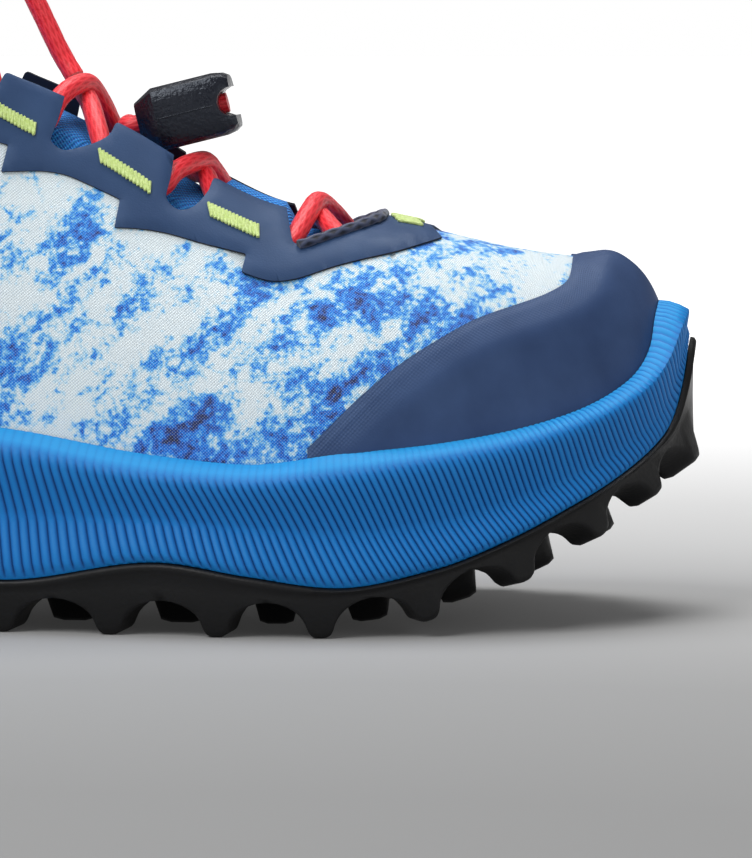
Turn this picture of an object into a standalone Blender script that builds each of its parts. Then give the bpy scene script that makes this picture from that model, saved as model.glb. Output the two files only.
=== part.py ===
"""Trail running shoe for the right foot, child's size: lugged outsole, waisted midsole, hollow upper on a last,
toe cap, eyestay, tongue, insole, elastic lace and cord lock. Sizes are in millimetres, the scene is in metres.

+X points to the toe, +Y to the medial (inner) side, +Z up, and the tread stands on z = 0.
"""

import math

import bmesh
import bpy
import numpy as np

MM = 0.001

# Driving dimensions of the last and the sole
TOE_X = 99.2
HEEL_X = -100.0
WALL = 1.8
GAP = 0.4
OVERLAY = 0.9
INSOLE = 3.0
LUG_HEIGHT = 6.0
ROCKER_START_X = 37.0
ROCKER_RISE = 26.0
ROCKER_POWER = 1.9
HEEL_BEVEL_X = -68.0
HEEL_BEVEL_RISE = 7.0
LATERAL, MEDIAL = -1, 1

# Plan outline of the sole, heel to toe: the two ends are the heel and toe points
OUTLINE_COLUMNS = ("x", "lateral", "medial")
OUTLINE = [
    (HEEL_X, 0.0, 0.0),
    (-93.0, -20.0, 19.0),
    (-78.0, -29.5, 28.5),
    (-52.0, -32.5, 31.0),
    (-22.0, -33.5, 29.5),
    (6.0, -37.0, 33.0),
    (30.0, -40.0, 38.0),
    (52.0, -38.0, 40.0),
    (71.0, -31.5, 36.5),
    (85.0, -22.0, 29.0),
    (95.2, -9.5, 17.5),
    (TOE_X, 5.0, 5.0),
]

# Heights of the sole's side by station: seam over the outsole, waist, ridge and inner edge of the lip.
# A station is the edge's x, and from TOE_START_X on the length along the edge, which ends at TOE_STATION
TOE_START_X = 70.0
TOE_STATION = 118.0
SIDE_COLUMNS = ("station", "seam", "waist", "ridge", "lip")
SIDE = [
    (-100.0, 17.5, 26.0, 37.0, 39.5),
    (-82.0, 12.0, 23.0, 36.5, 39.0),
    (-55.0, 9.0, 21.0, 35.0, 37.5),
    (-34.0, 11.2, 21.0, 32.8, 35.4),
    (-14.0, 8.4, 19.2, 30.8, 33.4),
    (12.0, 11.8, 18.6, 26.6, 29.2),
    (27.0, 9.8, 17.6, 25.8, 28.1),
    (42.0, 8.0, 16.8, 27.2, 29.7),
    (58.0, 10.9, 18.2, 29.4, 31.1),
    (72.0, 16.2, 22.0, 31.6, 33.1),
    (80.5, 20.0, 24.8, 33.5, 34.8),
    (87.6, 23.1, 27.5, 35.4, 36.6),
    (94.6, 26.4, 30.6, 37.9, 39.0),
    (100.4, 29.3, 33.6, 40.5, 41.5),
    (106.3, 32.6, 37.2, 44.2, 45.0),
    (112.1, 38.4, 42.4, 48.7, 49.7),
    (118.0, 46.6, 48.8, 51.6, 52.6),
]

# Height of the cup's floor along the shoe
CUP_COLUMNS = ("x", "floor")
CUP = [
    (-100.0, 30.0),
    (-82.0, 29.5),
    (-55.0, 28.5),
    (-34.0, 27.5),
    (-14.0, 26.5),
    (12.0, 24.0),
    (27.0, 23.2),
    (42.0, 23.2),
    (58.0, 24.0),
    (72.0, 26.0),
    (84.0, 29.0),
    (92.0, 32.0),
    (98.0, 35.0),
]

# Wall of the last, by share of each side's length from heel to toe: its top edge, and how far it leans over there
TOP_COLUMNS = ("share", "x", "half", "z", "lean", "inset", "fullness")
TOP = [
    (0.00, -88.0, 0.0, 97.0, 0.00, 5.0, 0.42),
    (0.07, -86.0, 10.5, 97.0, 0.00, 5.0, 0.42),
    (0.14, -79.0, 18.5, 95.0, 0.05, 5.0, 0.42),
    (0.21, -66.0, 22.5, 89.0, 0.10, 5.0, 0.42),
    (0.28, -52.0, 23.5, 84.5, 0.10, 5.0, 0.42),
    (0.34, -38.0, 21.0, 87.5, 0.25, 5.0, 0.42),
    (0.39, -26.0, 15.0, 95.0, 0.50, 5.0, 0.44),
    (0.45, -13.0, 11.5, 90.5, 0.60, 5.2, 0.45),
    (0.53, 4.0, 10.0, 82.5, 0.65, 5.4, 0.47),
    (0.59, 17.0, 9.0, 74.8, 0.70, 5.6, 0.48),
    (0.655, 31.0, 8.0, 68.8, 0.76, 5.8, 0.50),
    (0.700, 40.5, 6.0, 67.7, 0.86, 6.0, 0.52),
    (0.730, 46.0, 0.0, 67.0, 1.00, 6.2, 0.53),
    (0.79, 57.0, 0.0, 64.6, 1.00, 6.0, 0.55),
    (0.85, 67.0, 0.0, 62.2, 1.00, 5.6, 0.58),
    (0.92, 75.5, 0.0, 60.9, 1.00, 5.0, 0.62),
    (1.00, 83.0, 0.0, 60.2, 1.00, 4.5, 0.66),
]
THROAT_FRONT = 0.730
THROAT_BACK = 0.39
RIDGE_Y_COLUMNS = ("x", "y")
RIDGE_Y = [(-100.0, 0.0), (-40.0, 0.0), (30.0, 0.5), (79.0, 4.0)]


def column_of(rows, columns, name):
    """One named column of a table as an array."""
    return np.array([row[columns.index(name)] for row in rows], float)


def smooth_line(xs, ys):
    """A function through the rows that never overshoots them: cubic pieces with harmonic slopes."""
    step = np.diff(xs)
    rise = np.diff(ys) / step
    slope = np.zeros(len(xs))
    slope[0], slope[-1] = rise[0], rise[-1]
    for i in range(1, len(xs) - 1):
        if rise[i - 1] * rise[i] > 0:
            slope[i] = 2 * rise[i - 1] * rise[i] / (rise[i - 1] + rise[i])

    def value(x):
        x = min(max(x, xs[0]), xs[-1])
        i = min(int(np.searchsorted(xs, x, "right")) - 1, len(step) - 1)
        t = (x - xs[i]) / step[i]
        start = ys[i] * (1 + 2 * t) * (1 - t) ** 2 + slope[i] * step[i] * t * (1 - t) ** 2
        end = ys[i + 1] * t * t * (3 - 2 * t) + slope[i + 1] * step[i] * t * t * (t - 1)
        return float(start + end)

    return value


def table_lines(rows, columns):
    """A smooth function of the first column for each other column."""
    first = column_of(rows, columns, columns[0])
    return {name: smooth_line(first, column_of(rows, columns, name)) for name in columns[1:]}


side_line = table_lines(SIDE, SIDE_COLUMNS)
cup_height = table_lines(CUP, CUP_COLUMNS)["floor"]
top_line = table_lines(TOP, TOP_COLUMNS)
ridge_y = table_lines(RIDGE_Y, RIDGE_Y_COLUMNS)["y"]


def closed_spline(points, samples_each=24):
    """A smooth closed curve through the points, as many short steps: cubic pieces with centred slopes."""
    points = np.array(points, float)
    before, after = np.roll(points, 1, 0), np.roll(points, -1, 0)
    back, ahead = np.linalg.norm(points - before, axis=1), np.linalg.norm(after - points, axis=1)
    share = (back / (back + ahead))[:, None]
    tangent = (1 - share) * (points - before) / back[:, None] + share * (after - points) / ahead[:, None]
    curve = []
    for i in range(len(points)):
        j = (i + 1) % len(points)
        reach = ahead[i]
        for t in np.arange(samples_each) / samples_each:
            curve.append(
                points[i] * (1 + 2 * t) * (1 - t) ** 2
                + points[j] * t * t * (3 - 2 * t)
                + reach * (tangent[i] * t * (1 - t) ** 2 + tangent[j] * t * t * (t - 1))
            )
    return np.array(curve)


def outline_sides():
    """The sole's outline as two runs of points from heel to toe, lateral and medial, with their lengths."""
    lateral = [(row[0], row[1]) for row in OUTLINE]
    medial = [(row[0], row[2]) for row in OUTLINE]
    curve = closed_spline(lateral + medial[-2:0:-1])
    toe = int(np.argmin(np.linalg.norm(curve - lateral[-1], axis=1)))
    runs = {LATERAL: curve[: toe + 1], MEDIAL: np.vstack([curve[toe:], curve[:1]])[::-1]}
    return {side: (run, np.r_[0, np.cumsum(np.linalg.norm(np.diff(run, axis=0), axis=1))])
            for side, run in runs.items()}


SIDES = outline_sides()


def sole_point(side, share, inset=0.0):
    """A plan point at a share of the side's length from heel to toe, moved inwards by inset."""
    run, length = SIDES[side]
    near = np.clip(np.array([share - 0.004, share, share + 0.004]) * length[-1], 0, length[-1])
    before, here, after = [np.array([np.interp(d, length, run[:, i]) for i in (0, 1)]) for d in near]
    along = after - before
    if share <= 0 or share >= 1:
        along = np.array([0.0, 1.0 if (side == MEDIAL) == (share <= 0) else -1.0])
    inward = np.array([-along[1], along[0]]) * -side
    return here + inset * inward / np.linalg.norm(inward)


def station(side, share):
    """Place along the shoe for the heights of its side: the edge's x, and round the toe the length along the edge."""
    run, length = SIDES[side]
    toe_start = np.interp(TOE_START_X, run[:, 0], length) / length[-1]
    if share <= toe_start:
        return float(sole_point(side, share)[0])
    return TOE_START_X + (TOE_STATION - TOE_START_X) * (share - toe_start) / (1 - toe_start)


def toe_part(place):
    """Runs from 0 at the station where the toe starts to 1 at its tip."""
    return max(0.0, (place - TOE_START_X) / (TOE_STATION - TOE_START_X))


def base_height(x):
    """Underside of the outsole between its lugs: flat, with the toe's rocker and the heel's bevel."""
    toe = max(0.0, (x - ROCKER_START_X) / (TOE_X - ROCKER_START_X))
    heel = max(0.0, (HEEL_BEVEL_X - x) / (HEEL_BEVEL_X - HEEL_X))
    return LUG_HEIGHT + ROCKER_RISE * toe**ROCKER_POWER + HEEL_BEVEL_RISE * heel**2


def down_from_base(x):
    """Direction in which a lug stands out of the base at x: square to the underside."""
    step = 0.5
    slope = (base_height(x + step) - base_height(x - step)) / (2 * step)
    return np.array([slope, 0.0, -1.0]) / math.hypot(slope, 1.0)


def wall_controls(side, share):
    """The four controls of the last's wall at a share of the side: from the cup's floor to the top edge."""
    top_x, lean, fullness = top_line["x"](share), top_line["lean"](share), top_line["fullness"](share)
    plan = sole_point(side, share, top_line["inset"](share))
    foot = np.array([plan[0], plan[1], cup_height(plan[0]) + GAP])
    top = np.array([top_x, ridge_y(top_x) + side * top_line["half"](share), top_line["z"](share)])
    height, reach = top[2] - foot[2], foot[:2] - top[:2]
    low = foot + [0, 0, fullness * height]
    over = np.array([*(lean * fullness * reach), 0.0])
    down = np.array([0, 0, -(1 - lean) * fullness * height])
    return foot, low, top + over + down, top


def wall_point(side, share, w):
    """A point of the last's outer face: w runs from 0 at the foot of the wall to 1 at its top edge."""
    a, b, c, d = wall_controls(side, share)
    return (1 - w) ** 3 * a + 3 * w * (1 - w) ** 2 * b + 3 * w * w * (1 - w) * c + w**3 * d


def wall_normal(side, share, w):
    """Outward direction of the last's face. On its centre lines the two sides share one."""
    step = 0.004
    if share <= 0 or share >= 1 or (w >= 1 and share >= THROAT_FRONT):
        inside = min(max(share, step), 1 - step)
        pair = sum(one_sided_normal(s, inside, min(w, 1 - step)) for s in (LATERAL, MEDIAL))
        return pair / np.linalg.norm(pair)
    return one_sided_normal(side, min(max(share, step), 1 - step), w)


def one_sided_normal(side, share, w):
    step = 0.003
    along = wall_point(side, share + step, w) - wall_point(side, share - step, w)
    up = wall_point(side, share, min(w + step, 1)) - wall_point(side, share, max(w - step, 0))
    normal = np.cross(along, up) * -side
    return normal / np.linalg.norm(normal)


def off_wall(side, share, w, offset):
    """A point at a distance from the last's face: positive outside the upper, negative inside it."""
    return wall_point(side, share, w) + offset * wall_normal(side, share, w)


def share_at_top(x):
    """The share of the side whose wall tops out at x."""
    low, high = 0.0, 1.0
    for _ in range(40):
        middle = (low + high) / 2
        low, high = (middle, high) if top_line["x"](middle) < x else (low, middle)
    return high


def w_at_height(side, share, z):
    """Where the wall reaches a height."""
    low, high = 0.0, 1.0
    for _ in range(40):
        middle = (low + high) / 2
        low, high = (middle, high) if wall_point(side, share, middle)[2] < z else (low, middle)
    return low


def material(name, colour, roughness):
    made = bpy.data.materials.new(name)
    made.use_nodes = True
    shader = made.node_tree.nodes["Principled BSDF"]
    shader.inputs["Base Color"].default_value = (*colour, 1.0)
    shader.inputs["Roughness"].default_value = roughness
    return made


def add_solid(name, points, faces, finish):
    """One closed object from points in millimetres. Points that coincide are joined, and empty faces go."""
    mesh = bpy.data.meshes.new(name)
    mesh.from_pydata([tuple(np.array(p) * MM) for p in points], [], faces)
    shape = bmesh.new()
    shape.from_mesh(mesh)
    bmesh.ops.remove_doubles(shape, verts=shape.verts, dist=0.00001)
    bmesh.ops.dissolve_degenerate(shape, edges=shape.edges, dist=0.00001)
    bmesh.ops.recalc_face_normals(shape, faces=shape.faces)
    shape.to_mesh(mesh)
    shape.free()
    mesh.materials.append(finish)
    mesh.shade_smooth()
    mesh.set_sharp_from_angle(angle=math.radians(35))
    made = bpy.data.objects.new(name, mesh)
    bpy.context.collection.objects.link(made)
    return made


def thick_sheet(name, grids, finish):
    """A closed shell from pairs of grids (outer, inner): matching points, joined round their free edges."""
    points, faces, edges = [], [], {}
    for outer, inner in grids:
        rows, columns = len(outer), len(outer[0])
        first = len(points)
        for r in range(rows):
            for c in range(columns):
                points += [outer[r][c], inner[r][c]]
        at = [[first + 2 * (r * columns + c) for c in range(columns)] for r in range(rows)]
        for r in range(rows - 1):
            for c in range(columns - 1):
                quad = (at[r][c], at[r][c + 1], at[r + 1][c + 1], at[r + 1][c])
                faces += [quad, tuple(i + 1 for i in reversed(quad))]
    key = [tuple(np.round(p, 2)) for p in points]
    for quad in faces[::2]:
        for a, b in zip(quad, quad[1:] + quad[:1]):
            if key[a] != key[b]:
                edges.setdefault(frozenset((key[a], key[b])), []).append((a, b))
    for uses in edges.values():
        if len(uses) == 1:
            a, b = uses[0]
            faces.append((b, a, a + 1, b + 1))
    return add_solid(name, points, faces, finish)


def ring(make_point, columns):
    """One loop of points round the shoe: lateral from heel to toe, then medial back to the heel."""
    lateral = [make_point(LATERAL, k / columns) for k in range(columns + 1)]
    medial = [make_point(MEDIAL, k / columns) for k in range(columns - 1, 0, -1)]
    return lateral + medial


def lofted_rings(rings, columns):
    """Faces of a stack of loops, closed at both ends by strips from the lateral to the medial side."""
    count = 2 * columns
    faces = []
    for level in range(len(rings) - 1):
        for k in range(count):
            n = (k + 1) % count
            a, b = level * count, (level + 1) * count
            faces.append((a + k, a + n, b + n, b + k))
    for level in (0, len(rings) - 1):
        start = level * count
        for k in range(columns):
            strip = [start + k, start + k + 1, start + (count - k - 1) % count, start + (count - k) % count]
            faces.append(tuple(dict.fromkeys(strip)))
    return faces


# Midsole: a cup of foam with a waisted wall and a lip that holds the upper
MIDSOLE_COLUMNS = 58
WALL_LEVEL_COLUMNS = ("level", "inset")
WALL_LEVELS = [
    (0.00, 0.9),
    (0.25, 0.1),
    (0.90, 2.6),
    (1.10, 2.6),
    (1.80, 0.5),
    (2.00, 1.3),
]


# The waist grows shallow round the toe
TOE_EASE = 0.7
TOE_SET_BACK = 0.6
# Foam under the cup's floor, and where the outsole's wrapped edge ends inside the seam
FLOOR = 3.4
STEP_INSET = 3.0
STEP_EASE = 0.5
# Inside of the cup, from the lip down to the floor: it stands a little further off the upper lower down
CUP_DROPS = (0.0, 0.5)
CUP_EASE = 0.6


def wall_height(place, level):
    """Height on the midsole's side at a station: level 0 is the seam, 1 the waist and 2 the ridge of the lip."""
    seam, waist, ridge = side_line["seam"](place) + GAP, side_line["waist"](place), side_line["ridge"](place)
    if level <= 1:
        return seam + level * (waist - seam)
    return waist + (level - 1) * (ridge - waist)


def step_height(side, share, inset):
    """Top of the outsole inside its edge: level with the seam, but under the cup's floor where the toe wraps up."""
    inner = sole_point(side, share, inset)[0]
    return min(side_line["seam"](station(side, share)), cup_height(inner) - FLOOR)


def midsole():
    def underside(side, share):
        x, y = sole_point(side, share, STEP_INSET + 2 * GAP)
        return (x, y, step_height(side, share, STEP_INSET) + 1.5 * GAP)

    rings = [ring(underside, MIDSOLE_COLUMNS)]
    for level, inset in WALL_LEVELS:
        def wall(side, share, level=level, inset=inset):
            place = station(side, share)
            toe = toe_part(place)
            depth = inset * (1 - TOE_EASE * toe) + TOE_SET_BACK * toe
            return (*sole_point(side, share, depth), wall_height(place, level))

        rings.append(ring(wall, MIDSOLE_COLUMNS))

    def cup_wall(drop, ease):
        def point(side, share):
            lip = w_at_height(side, share, side_line["lip"](station(side, share)))
            return off_wall(side, share, lip * (1 - drop), GAP + ease)
        return point

    def cup_floor(side, share):
        x, y, z = off_wall(side, share, 0.0, GAP + CUP_EASE)
        return (x, y, cup_height(x))

    for drop in CUP_DROPS:
        rings.append(ring(cup_wall(drop, CUP_EASE * drop), MIDSOLE_COLUMNS))
    rings.append(ring(cup_floor, MIDSOLE_COLUMNS))
    points = [p for loop in rings for p in loop]
    return add_solid("midsole", points, lofted_rings(rings, MIDSOLE_COLUMNS), FOAM_BLUE)


# Outsole: a base that wraps the toe, arched lugs round its edge and two rows of lugs behind its arches
LUG_EDGE_COLUMNS = ("number", "share")
LUG_EDGES = [(0, 0.0), (7, 0.548), (9, 0.694), (11, 0.829), (12, 0.885), (13, 0.937), (14, 1.0)]
LUGS_A_SIDE = LUG_EDGES[-1][0]
LUG_TIP_HALF = 0.11
ARCH_STEPS = (0.0, 0.45, 0.80)
EDGE_LUG_REACH = 12.0
TOE_LUG_REACH = 6.0
TOE_LUGS_FROM = 0.72
TOE_LUGS_TO = 0.90
TOE_LUG_SHARE = 0.8
# Rows of lugs run across the shoe a little askew: square to this heading
TREAD_HEADING = math.radians(4.0)
TREAD_END = 0.06
EDGE_LUG_DRAFT = 1.6
OUTSOLE_INSET = 0.6
TOE_WRAP = 0.7
CENTRE_LUG_HALF = 0.2
CENTRE_LUG_DRAFT = 0.07
CENTRE_LUG_COLUMNS = ("start", "end")
CENTRE_LUGS = [(0.08, 0.42), (0.58, 0.92)]


def lug_phases():
    """Places in one lug pitch: up the arch to the lug's tip, across it and down the next arch."""
    arch = 0.5 - LUG_TIP_HALF
    rising = [arch * step for step in ARCH_STEPS] + [arch]
    return rising + [1 - phase for phase in reversed(rising[1:])]


def lug_depth(phase):
    """Share of the lug's height at a place in its pitch: round arches between flat tips."""
    arch = 0.5 - LUG_TIP_HALF
    away = min(phase, 1 - phase) / arch
    return 1.0 if away >= 1 else 1 - math.sqrt(max(0.0, 1 - away * away))


def toward_toe(share):
    """Runs from 0 to 1 where the lugs change to the toe's smaller ones."""
    return min(max((share - TOE_LUGS_FROM) / (TOE_LUGS_TO - TOE_LUGS_FROM), 0.0), 1.0)


def lug_reach(share):
    """How far an edge lug runs in from the edge."""
    return EDGE_LUG_REACH + toward_toe(share) * (TOE_LUG_REACH - EDGE_LUG_REACH)


def medial_share():
    """A function from a share of the lateral side to the share of the medial side across the tread from it."""
    shares = np.linspace(0.0, 1.0, 201)
    ahead = np.array([math.cos(TREAD_HEADING), math.sin(TREAD_HEADING)])
    reach = {side: [sole_point(side, share).dot(ahead) for share in shares] for side in (LATERAL, MEDIAL)}
    medial = np.maximum.accumulate(reach[MEDIAL])

    def across(share):
        opposite = np.interp(np.interp(share, shares, reach[LATERAL]), medial, shares)
        return share + (opposite - share) * min(1.0, share / TREAD_END, (1 - share) / TREAD_END)

    return across


def outsole():
    phases = lug_phases()
    lug_share = table_lines(LUG_EDGES, LUG_EDGE_COLUMNS)["share"]
    stations = [lug_share(i + phase) for i in range(LUGS_A_SIDE) for phase in phases] + [1.0]
    depths = [lug_depth(phase) for _ in range(LUGS_A_SIDE) for phase in phases] + [0.0]
    behind = [min(phase, 1 - phase) <= CENTRE_LUG_HALF for _ in range(LUGS_A_SIDE) for phase in phases] + [False]
    across_from = medial_share()

    def sunk(x, y, share):
        down = down_from_base(x)
        base = np.array([x, y, base_height(x)])
        return base + share * LUG_HEIGHT * down

    def section(lateral_share, depth, has_centre_lugs):
        """One row across the underside, from inside the lateral seam to inside the medial seam."""
        halves = {}
        depth *= 1 - toward_toe(lateral_share) * (1 - TOE_LUG_SHARE)
        for side, share in ((LATERAL, lateral_share), (MEDIAL, across_from(lateral_share))):
            inset = OUTSOLE_INSET - TOE_WRAP * toe_part(station(side, share))
            edge = sole_point(side, share, inset - 0.4)
            foot = sole_point(side, share, inset + 0.5 * depth)
            end = sole_point(side, share, lug_reach(share))
            inner = sole_point(side, share, lug_reach(share) + EDGE_LUG_DRAFT)
            seam = (edge[0], edge[1], side_line["seam"](station(side, share)))
            step = (*sole_point(side, share, STEP_INSET), step_height(side, share, STEP_INSET) - STEP_EASE)
            halves[side] = [step, seam, sunk(*foot, depth), sunk(*end, depth), sunk(*inner, 0.0)]
        row = list(halves[LATERAL])
        start, stop = np.array(halves[LATERAL][-1]), np.array(halves[MEDIAL][-1])
        wide = np.linalg.norm(stop - start) > 2 * EDGE_LUG_REACH
        for first, last in CENTRE_LUGS:
            for t, low in ((first, 0), (first + CENTRE_LUG_DRAFT, 1), (last - CENTRE_LUG_DRAFT, 1), (last, 0)):
                x, y = (start + t * (stop - start))[:2]
                row.append(sunk(x, y, 1.0 if low and has_centre_lugs and wide else 0.0))
        return row + halves[MEDIAL][::-1]

    rows = [section(*row) for row in zip(stations, depths, behind)]
    across = len(rows[0])
    points = [p for row in rows for p in row]
    faces = []
    for r in range(len(rows) - 1):
        for c in range(across):
            n = (c + 1) % across
            faces.append((r * across + c, r * across + n, (r + 1) * across + n, (r + 1) * across + c))
    return add_solid("outsole", points, faces, RUBBER_BLACK)


# Upper: one wall over the last, open at the collar, along the throat and underneath
UPPER_ROWS = 7
UPPER_EDGE_DROP = 9.5
UPPER_SHARES = [
    *np.linspace(0.0, THROAT_BACK, 11)[:-1],
    *np.linspace(THROAT_BACK, THROAT_FRONT, 13)[:-1],
    *np.linspace(THROAT_FRONT, 1.0, 12),
]


def upper_top(side, share):
    """Where the upper's wall ends: at the collar and over the vamp at the top, along the throat under the tabs."""
    if not THROAT_BACK < share < THROAT_FRONT:
        return 1.0
    middle = min(share - THROAT_BACK, THROAT_FRONT - share)
    drop = UPPER_EDGE_DROP * min(1.0, middle / 0.05)
    return w_at_height(side, share, top_line["z"](share) - drop)


def upper():
    grids = []
    for side in (LATERAL, MEDIAL):
        tops = [upper_top(side, share) for share in UPPER_SHARES]
        layers = []
        for offset in (0.0, -WALL):
            layers.append([[off_wall(side, share, top * row / UPPER_ROWS, offset)
                            for share, top in zip(UPPER_SHARES, tops)] for row in range(UPPER_ROWS + 1)])
        grids.append(tuple(layers))
    return thick_sheet("upper", grids, MESH_PRINT)


# Toe cap: an overlay over the front of the upper, from the lip to a line that sweeps up to the vamp
CAP_LINE_COLUMNS = ("share", "z")
CAP_LINE = [
    (0.65, 30.0),
    (0.68, 36.7),
    (0.715, 43.0),
    (0.745, 47.0),
    (0.785, 51.0),
    (0.85, 54.6),
    (0.91, 57.8),
    (0.96, 60.5),
]
# Near the ridge of the vamp the line turns in and crosses it
CAP_TURN, CAP_TOP = 0.885, 0.95
CAP_COLUMNS = 20
CAP_ROWS = 6


def toe_cap():
    cap_line = table_lines(CAP_LINE, CAP_LINE_COLUMNS)["z"]
    shares = [*np.linspace(CAP_LINE[0][0], CAP_TOP, CAP_COLUMNS - 2), (1 + CAP_TOP) / 2, 1.0]

    def cap_edge(side, share):
        height = w_at_height(side, share, cap_line(share))
        turn = min(max((share - CAP_TURN) / (CAP_TOP - CAP_TURN), 0.0), 1.0)
        return height + (1 - height) * turn**2

    grids = []
    for side in (LATERAL, MEDIAL):
        layers = []
        for offset in (GAP + OVERLAY, GAP):
            columns = []
            for share in shares:
                low = w_at_height(side, share, side_line["lip"](station(side, share)) + GAP)
                high = max(cap_edge(side, share), low + 0.01)
                columns.append([off_wall(side, share, low + (high - low) * row / CAP_ROWS, offset)
                                for row in range(CAP_ROWS + 1)])
            layers.append([list(row) for row in zip(*columns)])
        grids.append(tuple(layers))
    return thick_sheet("toe_cap", grids, FILM_NAVY)


# Eyestay: an overlay round the throat, with lace tabs along its upper edge and a stepped lower edge
EYESTAY_FRONT_X = 54.5
THROAT_FRONT_X = 46.0
EYESTAY_BACK_X = -30.5
EYESTAY_ROWS = 3
NOTCH_DEPTH = 9.2
NOTCH_STEEP = 0.45
TAB_COLUMNS = ("front_x", "tip_x", "step_x", "depth_before_step", "depth_after_step")
TABS = [
    (29.5, 19.0, 22.2, 13.8, 10.4),
    (11.6, 2.8, 1.5, 17.8, 12.8),
    (-6.5, -15.5, -15.9, 17.2, 12.2),
    (-24.3, EYESTAY_BACK_X, EYESTAY_BACK_X, 15.0, 15.0),
]
FRONT_EDGE_COLUMNS = ("x", "upper_depth", "lower_depth")
FRONT_EDGE = [
    (EYESTAY_FRONT_X, 0.0, 1.4),
    (50.5, 0.0, 3.2),
    (THROAT_FRONT_X, 0.0, 5.2),
    (41.0, 2.0, 7.0),
    (36.0, 4.0, 8.8),
    (30.1, 5.8, 11.4),
]


def eyestay_edges():
    """Rows of the eyestay from front to back: place along the tab line, depth of the upper and lower edges."""
    upper = [(x, high) for x, high, _ in FRONT_EDGE]
    lower = [(x, low) for x, _, low in FRONT_EDGE]
    for tab, (front, tip, step, before, after) in enumerate(TABS):
        upper += [(front, 0.0), (tip, 0.0)]
        lower += [(step + 0.6, before), (step - 0.5, after)]
        if tab + 1 < len(TABS):
            notch = TABS[tab + 1][0] + NOTCH_STEEP
            upper += [(tip - 1.6, 0.3 * NOTCH_DEPTH), (notch + 1.6, 0.87 * NOTCH_DEPTH), (notch, NOTCH_DEPTH)]
    upper_x, upper_depth = zip(*upper[::-1])
    lower_x, lower_depth = zip(*lower[::-1])
    places = sorted({x for x, _ in upper + lower if x >= EYESTAY_BACK_X}, reverse=True)
    return [(x, np.interp(x, upper_x, upper_depth), np.interp(x, lower_x, lower_depth)) for x in places]


def eyestay():
    grids = []
    for side in (LATERAL, MEDIAL):
        layers = []
        for offset in (GAP + OVERLAY, GAP):
            columns = []
            for x, high_drop, low_drop in eyestay_edges():
                share = share_at_top(x)
                z = top_line["z"](share)
                high = w_at_height(side, share, z - high_drop) if high_drop else 1.0
                low = w_at_height(side, share, z - low_drop)
                columns.append([off_wall(side, share, low + (high - low) * row / EYESTAY_ROWS, offset)
                                for row in range(EYESTAY_ROWS + 1)])
            layers.append([list(row) for row in zip(*columns)])
        grids.append(tuple(layers))
    return thick_sheet("eyestay", grids, FILM_NAVY)


# Tongue: a padded strip that follows the inside of the throat and stands up past the collar
TONGUE = 3.0
TONGUE_GAP = 2.2
TONGUE_FRONT_X = 53.0
TONGUE_BACK_X = -19.0
TONGUE_STEPS = 15
TONGUE_CROWN = 3.0
TONGUE_EDGE_DROPS = (10.5, 7.0, 3.6)
TONGUE_RISE_STEPS = (5.0, 10.0, 14.0, 17.0)
TONGUE_RISE_DIRECTION = np.array([-0.80, 0.0, 0.60])
TONGUE_RISE_WIDER = -0.006


def tongue_section(x, sink):
    """One row across the tongue: down the inside of the lateral wall, over the crown, and down the medial wall."""
    share = share_at_top(x)
    z = top_line["z"](share)
    sides = {}
    for side in (LATERAL, MEDIAL):
        places = [w_at_height(side, share, z - drop) for drop in TONGUE_EDGE_DROPS]
        sides[side] = [off_wall(side, share, w, -WALL - TONGUE_GAP - sink) for w in places]
    crown = np.array([x, ridge_y(x), z - TONGUE_CROWN - sink])
    if share >= THROAT_FRONT:
        crown = off_wall(LATERAL, share, 1.0, -WALL - TONGUE_GAP - sink)
    shoulders = {side: 0.5 * (crown + sides[side][-1]) + [0, 0, 0.35] for side in sides}
    return [*sides[LATERAL], shoulders[LATERAL], crown, shoulders[MEDIAL], *sides[MEDIAL][::-1]]


def tongue():
    layers = []
    for sink in (0.0, TONGUE):
        rows = [tongue_section(x, sink) for x in np.linspace(TONGUE_FRONT_X, TONGUE_BACK_X, TONGUE_STEPS)]
        for rise in TONGUE_RISE_STEPS:
            wider = np.array([1.0, 1.0 + TONGUE_RISE_WIDER * rise, 1.0])
            rows.append([point * wider + rise * TONGUE_RISE_DIRECTION for point in rows[TONGUE_STEPS - 1]])
        layers.append(rows)
    return thick_sheet("tongue", [tuple(layers)], KNIT_BLUE)


# Insole: a flat sock liner on the floor of the cup, inside the foot of the upper
INSOLE_COLUMNS = 28


def insole():
    def edge(lift):
        def point(side, share):
            x, y, _ = off_wall(side, share, 0.0, -WALL - GAP)
            return (x, y, cup_height(x) + GAP + lift)
        return point

    rings = [ring(edge(0.0), INSOLE_COLUMNS), ring(edge(INSOLE), INSOLE_COLUMNS)]
    points = [p for loop in rings for p in loop]
    return add_solid("insole", points, lofted_rings(rings, INSOLE_COLUMNS), KNIT_NAVY)


# Lace: round elastic cord, crossed over the tongue under the tabs, and the bow it makes behind the cord lock
LACE_RADIUS = 1.7
LACE_SIDES = 8
LACE_CLEAR = 0.7
CROSSING_COLUMNS = ("name", "front_x", "back_x", "reach", "upper_lift", "lower_lift")
CROSSINGS = [
    ("lace_crossing_front", 40.0, 31.4, 1.9, 2.4, 0.0),
    ("lace_crossing_middle", 22.0, 10.5, 1.5, 2.2, 0.0),
    ("lace_crossing_top", 1.6, -9.0, 1.5, 4.2, 1.8),
]
RISING_CROSSING = "lace_crossing_top"
RISING_END = (-5.6, 2.6, 89.8)
LAST_OF_SECTION = 8
CROWN_OF_SECTION = 4


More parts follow.
